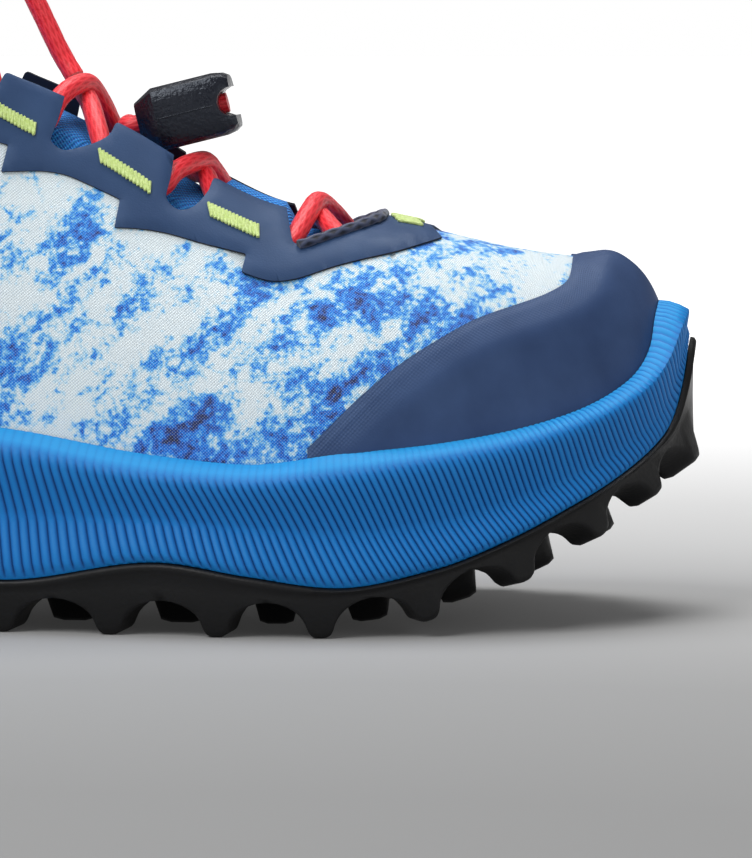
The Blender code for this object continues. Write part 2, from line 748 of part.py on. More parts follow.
def on_tongue(x, place, lift):
    """Centre of a lace that lies on the tongue: place counts across the tongue's section, 4 is its crown."""
    section = np.array(tongue_section(x, 0.0))
    place_of = np.arange(len(section))
    here, before, after = [np.array([np.interp(place + d, place_of, section[:, i]) for i in range(3)])
                           for d in (0.0, -0.6, 0.6)]
    across = after - before
    out = np.array([0.0, -across[2], across[1]])
    out /= np.linalg.norm(out)
    return here + (LACE_CLEAR + LACE_RADIUS) * out + [0, 0, lift]


def tube(name, path, radius, sides, finish):
    """A closed round tube along a path."""
    path = np.array(path, float)
    points, faces = [], []
    tangents = np.gradient(path, axis=0)
    side = np.cross(tangents[0], [0.3, 0.2, 1.0])
    for centre, tangent in zip(path, tangents):
        tangent = tangent / np.linalg.norm(tangent)
        side = side - tangent * side.dot(tangent)
        side /= np.linalg.norm(side)
        other = np.cross(tangent, side)
        for k in range(sides):
            turn = 2 * math.pi * k / sides
            points.append(centre + radius * (math.cos(turn) * side + math.sin(turn) * other))
    for ring_start in range(0, (len(path) - 1) * sides, sides):
        for k in range(sides):
            n = (k + 1) % sides
            faces.append((ring_start + k, ring_start + n, ring_start + sides + n, ring_start + sides + k))
    faces.append(tuple(reversed(range(sides))))
    faces.append(tuple(range(len(points) - sides, len(points))))
    return add_solid(name, points, faces, finish)


def smooth_path(points, steps):
    """A curve through the points, cut into equal steps."""
    points = np.array(points, float)
    length = np.r_[0, np.cumsum(np.linalg.norm(np.diff(points, axis=0), axis=1))]
    lines = [smooth_line(length, points[:, i]) for i in range(3)]
    return [[line(d) for line in lines] for d in np.linspace(0, length[-1], steps + 1)]


def join_to(base, tool):
    """Union of two solids: the tool stays hidden."""
    joined = base.modifiers.new("joined", "BOOLEAN")
    joined.operation = "UNION"
    joined.solver = "EXACT"
    joined.object = tool
    hide_cutter(tool)


def cut_from(base, tool):
    cut = base.modifiers.new("cut_" + tool.name, "BOOLEAN")
    cut.operation = "DIFFERENCE"
    cut.solver = "EXACT"
    cut.object = tool
    hide_cutter(tool)


def hide_cutter(tool):
    tool.hide_render = True
    tool.display_type = "WIRE"


def lace_crossings():
    for name, front_x, back_x, reach, upper_lift, lower_lift in CROSSINGS:
        places = [reach, 2.4, 3.2, CROWN_OF_SECTION, 4.8, 5.6, LAST_OF_SECTION - reach]
        strands = []
        for start, end, lift, tag in ((back_x, front_x, upper_lift, ""), (front_x, back_x, lower_lift, "_under")):
            path = []
            for place in places:
                t = (place - places[0]) / (places[-1] - places[0])
                bump = math.sin(math.pi * t) ** 1.5
                path.append(on_tongue(start + t * (end - start), place, lift * bump))
            if name == RISING_CROSSING and tag:
                path = path[: CROWN_OF_SECTION] + [np.array(RISING_END)]
            strands.append(tube(name + tag, path, LACE_RADIUS, LACE_SIDES, LACE_RED))
        join_to(*strands)


# Cord lock: a bored block with a chamfered back end and a round notch in its front end
LOCK_CENTRE = np.array([13.0, 0.3, 84.8])
LOCK_TILT = math.radians(14.0)
LOCK_SECTION_HALF = 5.4
LOCK_CORNER = 2.4
LOCK_ENDS_COLUMNS = ("along", "scale")
LOCK_ENDS = [(-7.8, 0.66), (-4.4, 1.0), (6.2, 1.0), (7.8, 0.94), (8.8, 0.82)]
NOTCH_ALONG = 8.7
NOTCH_RADIUS = 2.5
BORE_RADIUS = LACE_RADIUS + 0.45


def on_lock(along, across, up):
    """A point of the cord lock from its own axes: along its bore, across it and up."""
    x = along * math.cos(LOCK_TILT) - up * math.sin(LOCK_TILT)
    z = along * math.sin(LOCK_TILT) + up * math.cos(LOCK_TILT)
    return LOCK_CENTRE + [x, across, z]


def cord_lock():
    corner_steps = 3
    flat = LOCK_SECTION_HALF - LOCK_CORNER
    section = []
    for quarter in range(4):
        for step in range(corner_steps):
            turn = math.pi / 2 * (quarter + step / (corner_steps - 1))
            sign_a = 1 if quarter in (0, 3) else -1
            sign_u = 1 if quarter in (0, 1) else -1
            section.append((sign_a * flat + LOCK_CORNER * math.cos(turn), sign_u * flat + LOCK_CORNER * math.sin(turn)))
    count = len(section)
    points = [on_lock(along, scale * a, scale * u) for along, scale in LOCK_ENDS for a, u in section]
    faces = [tuple(range(count)), tuple(range(len(points) - count, len(points)))]
    for level in range(len(LOCK_ENDS) - 1):
        for k in range(count):
            n = (k + 1) % count
            faces.append((level * count + k, level * count + n, (level + 1) * count + n, (level + 1) * count + k))
    block = add_solid("cord_lock", points, faces, PLASTIC_BLACK)
    notch_ends = [on_lock(NOTCH_ALONG, across, 0.0) for across in (-9.0, 9.0)]
    bore_ends = [on_lock(along, 0.0, 0.0) for along in (-10.0, 10.0)]
    cut_from(block, tube("cord_lock_notch", notch_ends, NOTCH_RADIUS, 14, PLASTIC_BLACK))
    cut_from(block, tube("cord_lock_bore", bore_ends, BORE_RADIUS, 12, PLASTIC_BLACK))


# The lace's tail runs from the notch through the lock and under the far tab; the slack is its bow above the throat
TAIL_STEPS = 16
SLACK_STEPS = 20
SLACK_SIDES = 8


def lace_ends():
    tail = [on_lock(along, 0.0, 0.0) for along in (7.6, 2.0, -4.0, -8.2, -10.2)]
    tail += [on_tongue(3.3, 4.8, 1.5), on_tongue(5.4, 5.7, 0.4), on_tongue(7.5, 6.4, 0.0)]
    tube("lace_tail", smooth_path(tail, TAIL_STEPS), LACE_RADIUS, SLACK_SIDES, LACE_RED)
    slack = [(-6.1, 3.2, 90.9), (-7.6, 4.2, 94.5), (-9.3, 4.2, 99.0), (-11.5, 3.6, 104.5), (-16.0, 1.5, 111.0)]
    slack += [(-22.0, -1.5, 113.0), (-27.0, -5.0, 108.5)]
    slack += [on_tongue(-19.5, 2.6, 4.5), on_tongue(-16.5, 1.7, 0.4)]
    tube("lace_slack", smooth_path(slack, SLACK_STEPS), LACE_RADIUS, SLACK_SIDES, LACE_RED)


def clear_scene():
    for old in list(bpy.data.objects):
        bpy.data.objects.remove(old)


clear_scene()
FOAM_BLUE = material("foam_blue", (0.02, 0.22, 0.72), 0.55)
RUBBER_BLACK = material("rubber_black", (0.016, 0.017, 0.018), 0.6)
MESH_PRINT = material("mesh_print", (0.42, 0.62, 0.88), 0.75)
FILM_NAVY = material("film_navy", (0.03, 0.055, 0.12), 0.5)
KNIT_BLUE = material("knit_blue", (0.02, 0.16, 0.6), 0.8)
KNIT_NAVY = material("knit_navy", (0.02, 0.03, 0.07), 0.85)
LACE_RED = material("lace_red", (0.58, 0.012, 0.025), 0.6)
PLASTIC_BLACK = material("plastic_black", (0.014, 0.014, 0.016), 0.5)
midsole()
outsole()
upper()
toe_cap()
eyestay()
tongue()
insole()
lace_crossings()
cord_lock()
lace_ends()
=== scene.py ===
"""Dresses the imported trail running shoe: photo camera, studio light, and detailed pieces over the CAD nodes.

Lengths below are in millimetres, as in the part's source, and become metres when a mesh is made.
"""

import math
from functools import lru_cache

import bmesh
import bpy
import numpy as np
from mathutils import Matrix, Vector
from mathutils.geometry import delaunay_2d_cdt


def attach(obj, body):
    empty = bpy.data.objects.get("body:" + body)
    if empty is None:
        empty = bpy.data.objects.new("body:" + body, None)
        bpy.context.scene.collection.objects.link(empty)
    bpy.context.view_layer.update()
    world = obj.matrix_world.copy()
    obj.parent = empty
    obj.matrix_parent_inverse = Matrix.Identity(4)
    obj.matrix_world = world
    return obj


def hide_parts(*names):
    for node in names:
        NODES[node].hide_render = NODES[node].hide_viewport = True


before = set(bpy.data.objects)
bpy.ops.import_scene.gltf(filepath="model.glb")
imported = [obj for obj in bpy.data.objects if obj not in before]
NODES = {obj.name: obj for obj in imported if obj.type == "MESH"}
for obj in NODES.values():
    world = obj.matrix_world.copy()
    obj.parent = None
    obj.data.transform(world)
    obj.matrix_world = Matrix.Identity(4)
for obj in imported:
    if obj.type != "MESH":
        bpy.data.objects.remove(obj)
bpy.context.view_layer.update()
MM = 0.001
LATERAL, MEDIAL = -1, 1

# The last and the sole: the same tables as in the part's source
WALL = 1.8
GAP = 0.4
OVERLAY = 0.9
HEEL_X, TOE_X = -100.0, 99.2
OUTLINE = [
    (HEEL_X, 0.0, 0.0),
    (-93.0, -20.0, 19.0),
    (-78.0, -29.5, 28.5),
    (-52.0, -32.5, 31.0),
    (-22.0, -33.5, 29.5),
    (6.0, -37.0, 33.0),
    (30.0, -40.0, 38.0),
    (52.0, -38.0, 40.0),
    (71.0, -31.5, 36.5),
    (85.0, -22.0, 29.0),
    (95.2, -9.5, 17.5),
    (TOE_X, 5.0, 5.0),
]
TOE_START_X = 70.0
TOE_STATION = 118.0
SIDE_COLUMNS = ("station", "seam", "waist", "ridge", "lip")
SIDE = [
    (-100.0, 17.5, 26.0, 37.0, 39.5),
    (-82.0, 12.0, 23.0, 36.5, 39.0),
    (-55.0, 9.0, 21.0, 35.0, 37.5),
    (-34.0, 11.2, 21.0, 32.8, 35.4),
    (-14.0, 8.4, 19.2, 30.8, 33.4),
    (12.0, 11.8, 18.6, 26.6, 29.2),
    (27.0, 9.8, 17.6, 25.8, 28.1),
    (42.0, 8.0, 16.8, 27.2, 29.7),
    (58.0, 10.9, 18.2, 29.4, 31.1),
    (72.0, 16.2, 22.0, 31.6, 33.1),
    (80.5, 20.0, 24.8, 33.5, 34.8),
    (87.6, 23.1, 27.5, 35.4, 36.6),
    (94.6, 26.4, 30.6, 37.9, 39.0),
    (100.4, 29.3, 33.6, 40.5, 41.5),
    (106.3, 32.6, 37.2, 44.2, 45.0),
    (112.1, 38.4, 42.4, 48.7, 49.7),
    (118.0, 46.6, 48.8, 51.6, 52.6),
]
CUP_COLUMNS = ("x", "floor")
CUP = [
    (-100.0, 30.0),
    (-82.0, 29.5),
    (-55.0, 28.5),
    (-34.0, 27.5),
    (-14.0, 26.5),
    (12.0, 24.0),
    (27.0, 23.2),
    (42.0, 23.2),
    (58.0, 24.0),
    (72.0, 26.0),
    (84.0, 29.0),
    (92.0, 32.0),
    (98.0, 35.0),
]
TOP_COLUMNS = ("share", "x", "half", "z", "lean", "inset", "fullness")
TOP = [
    (0.00, -88.0, 0.0, 97.0, 0.00, 5.0, 0.42),
    (0.07, -86.0, 10.5, 97.0, 0.00, 5.0, 0.42),
    (0.14, -79.0, 18.5, 95.0, 0.05, 5.0, 0.42),
    (0.21, -66.0, 22.5, 89.0, 0.10, 5.0, 0.42),
    (0.28, -52.0, 23.5, 84.5, 0.10, 5.0, 0.42),
    (0.34, -38.0, 21.0, 87.5, 0.25, 5.0, 0.42),
    (0.39, -26.0, 15.0, 95.0, 0.50, 5.0, 0.44),
    (0.45, -13.0, 11.5, 90.5, 0.60, 5.2, 0.45),
    (0.53, 4.0, 10.0, 82.5, 0.65, 5.4, 0.47),
    (0.59, 17.0, 9.0, 74.8, 0.70, 5.6, 0.48),
    (0.655, 31.0, 8.0, 68.8, 0.76, 5.8, 0.50),
    (0.700, 40.5, 6.0, 67.7, 0.86, 6.0, 0.52),
    (0.730, 46.0, 0.0, 67.0, 1.00, 6.2, 0.53),
    (0.79, 57.0, 0.0, 64.6, 1.00, 6.0, 0.55),
    (0.85, 67.0, 0.0, 62.2, 1.00, 5.6, 0.58),
    (0.92, 75.5, 0.0, 60.9, 1.00, 5.0, 0.62),
    (1.00, 83.0, 0.0, 60.2, 1.00, 4.5, 0.66),
]
THROAT_FRONT, THROAT_BACK = 0.730, 0.39
RIDGE_Y = [(-100.0, 0.0), (-40.0, 0.0), (30.0, 0.5), (79.0, 4.0)]


def smooth_line(xs, ys):
    """A function through the rows that never overshoots them: cubic pieces with harmonic slopes."""
    xs, ys = [float(x) for x in xs], [float(y) for y in ys]
    step = [b - a for a, b in zip(xs, xs[1:])]
    rise = [(b - a) / s for a, b, s in zip(ys, ys[1:], step)]
    slope = [0.0] * len(xs)
    slope[0], slope[-1] = rise[0], rise[-1]
    for i in range(1, len(xs) - 1):
        if rise[i - 1] * rise[i] > 0:
            slope[i] = 2 * rise[i - 1] * rise[i] / (rise[i - 1] + rise[i])

    @lru_cache(maxsize=None)
    def value(x):
        x = min(max(x, xs[0]), xs[-1])
        i = 0
        while i < len(step) - 1 and x >= xs[i + 1]:
            i += 1
        t = (x - xs[i]) / step[i]
        start = ys[i] * (1 + 2 * t) * (1 - t) ** 2 + slope[i] * step[i] * t * (1 - t) ** 2
        end = ys[i + 1] * t * t * (3 - 2 * t) + slope[i + 1] * step[i] * t * t * (t - 1)
        return start + end

    return value


def table_lines(rows, columns):
    """A smooth function of the first column for each other column."""
    first = [row[0] for row in rows]
    return {name: smooth_line(first, [row[i + 1] for row in rows]) for i, name in enumerate(columns[1:])}


side_line = table_lines(SIDE, SIDE_COLUMNS)
cup_height = table_lines(CUP, CUP_COLUMNS)["floor"]
top_line = table_lines(TOP, TOP_COLUMNS)
ridge_y = smooth_line(*zip(*RIDGE_Y))


def lengths_along(path):
    """The length of a path from its start to each of its points."""
    return np.r_[0, np.cumsum(np.linalg.norm(np.diff(path, axis=0), axis=1))]


def closed_spline(points, samples_each=24):
    """A smooth closed curve through the points, as many short steps: cubic pieces with centred slopes."""
    points = np.array(points, float)
    before, after = np.roll(points, 1, 0), np.roll(points, -1, 0)
    back, ahead = np.linalg.norm(points - before, axis=1), np.linalg.norm(after - points, axis=1)
    share = (back / (back + ahead))[:, None]
    tangent = (1 - share) * (points - before) / back[:, None] + share * (after - points) / ahead[:, None]
    curve = []
    for i in range(len(points)):
        j = (i + 1) % len(points)
        for t in np.arange(samples_each) / samples_each:
            curve.append(
                points[i] * (1 + 2 * t) * (1 - t) ** 2
                + points[j] * t * t * (3 - 2 * t)
                + ahead[i] * (tangent[i] * t * (1 - t) ** 2 + tangent[j] * t * t * (t - 1))
            )
    return np.array(curve)


def outline_sides():
    """The sole's outline as two runs of points from heel to toe, lateral and medial, with their lengths."""
    lateral = [(row[0], row[1]) for row in OUTLINE]
    medial = [(row[0], row[2]) for row in OUTLINE]
    curve = closed_spline(lateral + medial[-2:0:-1])
    toe = int(np.argmin(np.linalg.norm(curve - lateral[-1], axis=1)))
    runs = {LATERAL: curve[: toe + 1], MEDIAL: np.vstack([curve[toe:], curve[:1]])[::-1]}
    return {side: (run, lengths_along(run)) for side, run in runs.items()}


SIDES = outline_sides()
END_REACH = 0.012


@lru_cache(maxsize=None)
def sole_frame(side, share):
    """A plan point of the sole's edge and its inward direction, at a share of the side from heel to toe."""
    def plan(at):
        """Past the heel or the toe the edge goes on along the other side."""
        on_side = side if 0 <= at <= 1 else -side
        run, length = SIDES[on_side]
        distance = (at if on_side == side else -at if at < 0 else 2 - at) * length[-1]
        return np.array([np.interp(distance, length, run[:, i]) for i in (0, 1)])

    along = plan(share + END_REACH) - plan(share - END_REACH)
    inward = np.array([-along[1], along[0]]) * -side
    return plan(share), inward / np.linalg.norm(inward)


def sole_point(side, share, inset=0.0):
    here, inward = sole_frame(side, share)
    return here + inset * inward


TIP_ROUND, TIP_ROUND_FADE = 4.0, 10.0


@lru_cache(maxsize=None)
def station(side, share):
    """Place along the shoe for the heights of its side: the edge's x, and round the toe its length.

    At the tip it levels off, so that the two sides meet without a peak.
    """
    run, length = SIDES[side]
    toe_start = np.interp(TOE_START_X, run[:, 0], length) / length[-1]
    if share <= toe_start:
        return float(sole_point(side, share)[0])
    from_tip = (TOE_STATION - TOE_START_X) * abs(1 - share) / (1 - toe_start)
    level = TIP_ROUND * math.tanh(from_tip / TIP_ROUND) * math.exp(-from_tip / TIP_ROUND_FADE)
    return float(TOE_STATION - from_tip + level)


def toe_part(place):
    """Runs from 0 at the station where the toe starts to 1 at its tip."""
    return max(0.0, (place - TOE_START_X) / (TOE_STATION - TOE_START_X))


def smooth_step(t):
    t = min(max(t, 0.0), 1.0)
    return t * t * (3 - 2 * t)


@lru_cache(maxsize=None)
def wall_controls(side, share):
    """The four controls of the last's wall at a share of the side: from the cup's floor to the top edge."""
    top_x, lean, fullness = top_line["x"](share), top_line["lean"](share), top_line["fullness"](share)
    plan = sole_point(side, share, top_line["inset"](share))
    foot = np.array([plan[0], plan[1], cup_height(float(plan[0])) + GAP])
    top = np.array([top_x, ridge_y(top_x) + side * top_line["half"](share), top_line["z"](share)])
    height, reach = top[2] - foot[2], foot[:2] - top[:2]
    low = foot + [0, 0, fullness * height]
    over = np.array([*(lean * fullness * reach), 0.0])
    down = np.array([0, 0, -(1 - lean) * fullness * height])
    return foot, low, top + over + down, top


def wall_point(side, share, w):
    """A point of the last's outer face: w runs from 0 at the foot of the wall to 1 at its top edge."""
    a, b, c, d = wall_controls(side, share)
    return (1 - w) ** 3 * a + 3 * w * (1 - w) ** 2 * b + 3 * w * w * (1 - w) * c + w**3 * d


def one_sided_normal(side, share, w):
    step = 0.003
    along = wall_point(side, share + step, w) - wall_point(side, share - step, w)
    up = wall_point(side, share, min(w + step, 1)) - wall_point(side, share, max(w - step, 0))
    normal = np.cross(along, up) * -side
    return normal / np.linalg.norm(normal)


def wall_normal(side, share, w):
    """Outward direction of the last's face. Towards its centre lines the two sides come to share one."""
    step = 0.004
    inside = min(max(share, step), 1 - step)
    from_end = min(share, 1 - share) / (2 * END_REACH)
    if from_end >= 1 and not (w >= 1 and share >= THROAT_FRONT):
        return one_sided_normal(side, inside, w)
    own, other = (one_sided_normal(s, inside, min(w, 1 - step)) for s in (side, -side))
    normal = own + other * (1 - min(from_end, 1.0) if w < 1 else 1.0)
    return normal / np.linalg.norm(normal)


def off_wall(side, share, w, offset):
    """A point at a distance from the last's face: positive outside the upper, negative inside it."""
    return wall_point(side, share, w) + offset * wall_normal(side, share, w)


def halving(holds, rounds=30):
    """The ends of the short span between 0 and 1 in which a test that holds at first stops holding."""
    low, high = 0.0, 1.0
    for _ in range(rounds):
        middle = (low + high) / 2
        low, high = (middle, high) if holds(middle) else (low, middle)
    return low, high


@lru_cache(maxsize=None)
def share_at_top(x):
    """The share of the side whose wall tops out at x."""
    return halving(lambda share: top_line["x"](share) < x, 40)[1]


@lru_cache(maxsize=None)
def w_at_height(side, share, z):
    """Where the wall reaches a height."""
    return halving(lambda w: wall_point(side, share, w)[2] < z)[0]


def w_at_x(side, share, x):
    """Where the front of the wall comes back to an x."""
    return halving(lambda w: wall_point(side, share, w)[0] > x)[0]


# Camera at the photo's place. Its angles, distance and aim are in radians and metres, its lens in millimetres
CAMERA_AZIMUTH, CAMERA_ELEVATION = math.radians(4.0), math.radians(4.7)
CAMERA_DISTANCE, CAMERA_NEAR = 0.85, 0.01
CAMERA_LENS, CAMERA_SENSOR = 239.4, 36.0
CAMERA_AIM = Vector((0.0455, 0.0004, 0.0312))


def link(made):
    bpy.context.collection.objects.link(made)
    return made


def add_camera():
    camera = link(bpy.data.objects.new("photo_camera", bpy.data.cameras.new("photo_camera")))
    camera.data.sensor_fit = "HORIZONTAL"
    camera.data.sensor_width = CAMERA_SENSOR
    camera.data.lens = CAMERA_LENS
    camera.data.clip_start = CAMERA_NEAR
    flat = math.cos(CAMERA_ELEVATION)
    across, away = math.sin(CAMERA_AZIMUTH) * flat, math.cos(CAMERA_AZIMUTH) * flat
    back = Vector((across, -away, math.sin(CAMERA_ELEVATION)))
    camera.location = CAMERA_AIM + CAMERA_DISTANCE * back
    camera.rotation_euler = (-back).to_track_quat("-Z", "Y").to_euler()
    bpy.context.scene.camera = camera


class Finish:
    """A material: plain values on its shader's own sockets, and short ways to add texture nodes."""

    def __init__(self, name, colour, roughness, **sockets):
        self.material = bpy.data.materials.new(name)
        self.material.use_nodes = True
        self.tree = self.material.node_tree
        self.shader = self.tree.nodes["Principled BSDF"]
        self.shader.inputs["Base Color"].default_value = (*colour, 1.0)
        self.shader.inputs["Roughness"].default_value = roughness
        for socket, value in sockets.items():
            self.shader.inputs[socket.replace("_", " ")].default_value = value

    def add(self, kind, inputs, **settings):
        made = self.tree.nodes.new(kind)
        for setting, value in settings.items():
            setattr(made, setting, value)
        for socket, value in inputs.items():
            if isinstance(value, bpy.types.NodeSocket):
                self.tree.links.new(value, made.inputs[socket])
            else:
                made.inputs[socket].default_value = value
        return made

    def place(self):
        """Where a point lies on the shoe, in metres."""
        return self.add("ShaderNodeTexCoord", {}).outputs["Object"]

    def mark(self, name):
        """A number or vector stored on the mesh's points."""
        return self.add("ShaderNodeAttribute", {}, attribute_name=name)

    def noise(self, place, scale, detail=2.0, roughness=0.5):
        sockets = {"Vector": place, "Scale": scale, "Detail": detail, "Roughness": roughness}
        return self.add("ShaderNodeTexNoise", sockets).outputs["Fac"]

    def mapped(self, place, **sockets):
        return self.add("ShaderNodeMapping", {"Vector": place, **sockets}).outputs["Vector"]

    def sum(self, operation, first, second):
        return self.add("ShaderNodeMath", {0: first, 1: second}, operation=operation).outputs[0]

    def ramp(self, value, stops):
        made = self.add("ShaderNodeValToRGB", {"Fac": value})
        elements = made.color_ramp.elements
        while len(elements) < len(stops):
            elements.new(0.5)
        for element, (position, colour) in zip(elements, stops):
            element.position = position
            element.color = (*colour, 1.0)
        return made.outputs["Color"]

    def greys(self, value, stops):
        """A ramp of plain levels."""
        return self.ramp(value, [(position, (level, level, level)) for position, level in stops])

    def lifted(self, threads):
        """A weave's wave from 0 to 1."""
        return self.sum("ADD", self.sum("MULTIPLY", threads, 0.5), 0.5)

    def cloth(self, axis):
        """One of the thread coordinates stored on the mesh."""
        stored = self.mark("cloth").outputs["Vector"]
        return self.add("ShaderNodeSeparateXYZ", {"Vector": stored}).outputs[axis]

    def weave(self, pitch_u, pitch_v):
        """Threads over and under each other: a wave along the cloth times a wave across it, from -1 to 1."""
        waves = [self.sum("SINE", self.sum("MULTIPLY", self.cloth(axis), 2 * math.pi / pitch), 0.0)
                 for axis, pitch in (("X", pitch_u), ("Y", pitch_v))]
        return self.sum("MULTIPLY", *waves)

    def mix(self, factor, first, second, blend="MIX"):
        sockets = {0: factor, 6: first, 7: second}
        return self.add("ShaderNodeMix", sockets, data_type="RGBA", blend_type=blend).outputs[2]

    def bump(self, height, distance, strength=1.0):
        made = self.add("ShaderNodeBump", {"Height": height, "Distance": distance, "Strength": strength})
        socket = self.shader.inputs["Normal"]
        if socket.is_linked:
            self.tree.links.new(socket.links[0].from_socket, made.inputs["Normal"])
        self.tree.links.new(made.outputs["Normal"], socket)

    def colour(self, output):
        self.tree.links.new(output, self.shader.inputs["Base Color"])

    def grain(self, scale, detail, distance, strength):
        """A fine bump of noise."""
        self.bump(self.noise(self.place(), scale, detail), distance, strength)

    def uneven_gloss(self, scale, detail, low, high):
        """Roughness that wanders between two levels."""
        level = self.greys(self.noise(self.place(), scale, detail), [(0.3, low), (0.7, high)])
        self.tree.links.new(level, self.shader.inputs["Roughness"])


def grid_faces(rows, columns, is_closed=True, first=0):
    """Faces between rows of points. Closed rows go on from their last point to their first."""
    faces = []
    for r in range(rows - 1):
        row, above = first + r * columns, first + (r + 1) * columns
        for c in range(columns if is_closed else columns - 1):
            n = (c + 1) % columns
            faces.append((row + c, row + n, above + n, above + c))
    return faces


# Floor and backdrop, in metres: painted shade makes the floor grey near a place in front of the shoe, and a
# painted glow runs it out to white
FLOOR_CENTRE = Vector((0.03, -0.50, 0.0))
FLOOR_NEAR, FLOOR_FAR = 0.25, 1.05
# Columns: place from near to far, grey, glow. The grey, darkest near the front, is painted shade; the glow is
# painted light
FLOOR = [
    (0.06, 0.30, 0.0),
    (0.125, 0.325, 0.0),
    (0.20, 0.345, 0.01),
    (0.30, 0.42, 0.03),
    (0.42, 0.44, 0.09),
    (0.56, 0.42, 0.27),
    (0.75, 0.44, 0.55),
    (1.0, 0.44, 1.0),
]
BACKDROP_RADIUS, BACKDROP_HEIGHT, BACKDROP_SIDES = 12.0, 1.6, 64


def add_floor():
    """A pale floor, painted grey in front of the shoe as painted shade and glowing further off as painted
    light, so that it runs out to white, and a white backdrop all round it.
    """
    finish = Finish("floor_paper", (0.36, 0.36, 0.36), 0.9, Specular_IOR_Level=0.2, Emission_Strength=1.0)
    sockets = {0: finish.place(), 1: FLOOR_CENTRE}
    away = finish.add("ShaderNodeVectorMath", sockets, operation="DISTANCE").outputs["Value"]
    sockets = {"Value": away, "From Min": FLOOR_NEAR, "From Max": FLOOR_FAR}
    along = finish.add("ShaderNodeMapRange", sockets).outputs["Result"]
    finish.colour(finish.greys(along, [(place, grey) for place, grey, _ in FLOOR]))
    painted_glow = finish.greys(along, [(place, painted_glow) for place, _, painted_glow in FLOOR])
    finish.tree.links.new(painted_glow, finish.shader.inputs["Emission Color"])
    white = Finish("backdrop_white", (0.0, 0.0, 0.0), 1.0, Specular_IOR_Level=0.0, Emission_Strength=1.0,
                   Emission_Color=(1.0, 1.0, 1.0, 1.0))
    sides = BACKDROP_SIDES
    turns = [2 * math.pi * k / sides for k in range(sides)]
    rim = [(BACKDROP_RADIUS * math.cos(turn), BACKDROP_RADIUS * math.sin(turn)) for turn in turns]
    floor = bpy.data.meshes.new("floor")
    floor.from_pydata([(x, y, 0.0) for x, y in rim], [], [tuple(range(sides))])
    wall = bpy.data.meshes.new("backdrop")
    wall.from_pydata([(x, y, z) for z in (0.0, BACKDROP_HEIGHT) for x, y in rim], [], grid_faces(2, sides))
    for mesh, look in ((floor, finish), (wall, white)):
        mesh.materials.append(look.material)
        link(bpy.data.objects.new(mesh.name, mesh))


# Lights' columns: name, place, aim and size in metres, power in watts
LIGHTS = [
    ("key", (-0.55, -0.75, 1.05), (0.0, 0.0, 0.03), 0.8, 10.6),
    ("fill", (0.9, -0.9, 0.45), (0.02, 0.0, 0.04), 1.0, 2.0),
    ("top", (0.0, 0.30, 1.2), (0.02, 0.0, 0.04), 0.8, 10.5),
]
WORLD_LIGHT = 0.18


def add_lights():
    for name, place, aim, size, power in LIGHTS:
        panel = bpy.data.lights.new(name, "AREA")
        panel.size = size
        panel.energy = power
        made = link(bpy.data.objects.new(name, panel))
        made.location = place
        made.rotation_euler = (Vector(aim) - Vector(place)).to_track_quat("-Z", "Y").to_euler()
    world = bpy.data.worlds.new("studio")
    world.use_nodes = True
    background = world.node_tree.nodes["Background"]
    background.inputs["Color"].default_value = (1.0, 1.0, 1.0, 1.0)
    background.inputs["Strength"].default_value = WORLD_LIGHT
    bpy.context.scene.world = world
    bpy.context.scene.view_settings.view_transform = "Standard"


add_camera()
add_floor()
add_lights()

# Points this near are joined, and edges this short are taken out, in metres
JOIN_WITHIN, TOO_SHORT = 0.000005, 0.000001


def on_shoe(name, mesh, sharp):
    """An object on the shoe's body, smooth but for edges sharper than an angle in degrees."""
    mesh.shade_smooth()
    mesh.set_sharp_from_angle(angle=math.radians(sharp))
    made = link(bpy.data.objects.new(name, mesh))
    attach(made, "root")
    return made


def add_mesh(name, points, faces, finishes, marks=None, face_finish=None, sharp=40.0):
    """One visual piece on the shoe's body, from points in millimetres. Points that coincide are joined."""
    mesh = bpy.data.meshes.new(name)
    mesh.from_pydata((np.array(points, float) * MM).tolist(), [], faces)
    for finish in finishes:
        mesh.materials.append(finish.material)
    if face_finish is not None:
        mesh.polygons.foreach_set("material_index", face_finish)
    for mark, values in (marks or {}).items():
        values = np.array(values, np.float32)
        is_vector = values.ndim == 2
        stored = mesh.attributes.new(mark, "FLOAT_VECTOR" if is_vector else "FLOAT", "POINT")
        stored.data.foreach_set("vector" if is_vector else "value", values.ravel())
    shape = bmesh.new()
    shape.from_mesh(mesh)
    bmesh.ops.remove_doubles(shape, verts=shape.verts, dist=JOIN_WITHIN)
    bmesh.ops.dissolve_degenerate(shape, edges=shape.edges, dist=TOO_SHORT)
    bmesh.ops.recalc_face_normals(shape, faces=shape.faces)
    shape.to_mesh(mesh)
    shape.free()
    return on_shoe(name, mesh, sharp)


def dress(piece, slot, *nodes):
    """Puts a piece in place of its CAD nodes, which it hides. The slot is not used."""
    if nodes:
        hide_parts(*nodes)
    return piece


def soften(piece, width, segments, angle):
    """Rounds the piece's hard edges."""
    bevel = piece.modifiers.new("soft_edges", "BEVEL")
    bevel.width = width * MM
    bevel.segments = segments
    bevel.limit_method = "ANGLE"
    bevel.angle_limit = math.radians(angle)


def spread(points, count):
    """A count of evenly spaced points on a smooth path through the given ones."""
    points = np.array(points, float)
    length = lengths_along(points)
    lines = [smooth_line(length, points[:, i]) for i in range(3)]
    return np.array([[line(float(d)) for line in lines] for d in np.linspace(0, length[-1], count)])


def even_path(points, step, smoothing=0.0):
    """A path cut into equal steps, with its corners rounded over a length. Its ends stay."""
    even = spread(points, max(3, int(round(lengths_along(points)[-1] / step)) + 1))
    reach = int(round(2 * smoothing / step))
    if reach:
        window = np.exp(-0.5 * (np.arange(-reach, reach + 1) * step / smoothing) ** 2)
        window /= window.sum()
        before = 2 * even[0] - even[reach:0:-1]
        after = 2 * even[-1] - even[-2:-reach - 2:-1]
        padded = np.vstack([before, even, after])
        even = np.array([np.convolve(padded[:, i], window, "valid") for i in range(3)]).T
    return even


ACROSS_AT_START = (0.3, 0.2, 1.0)


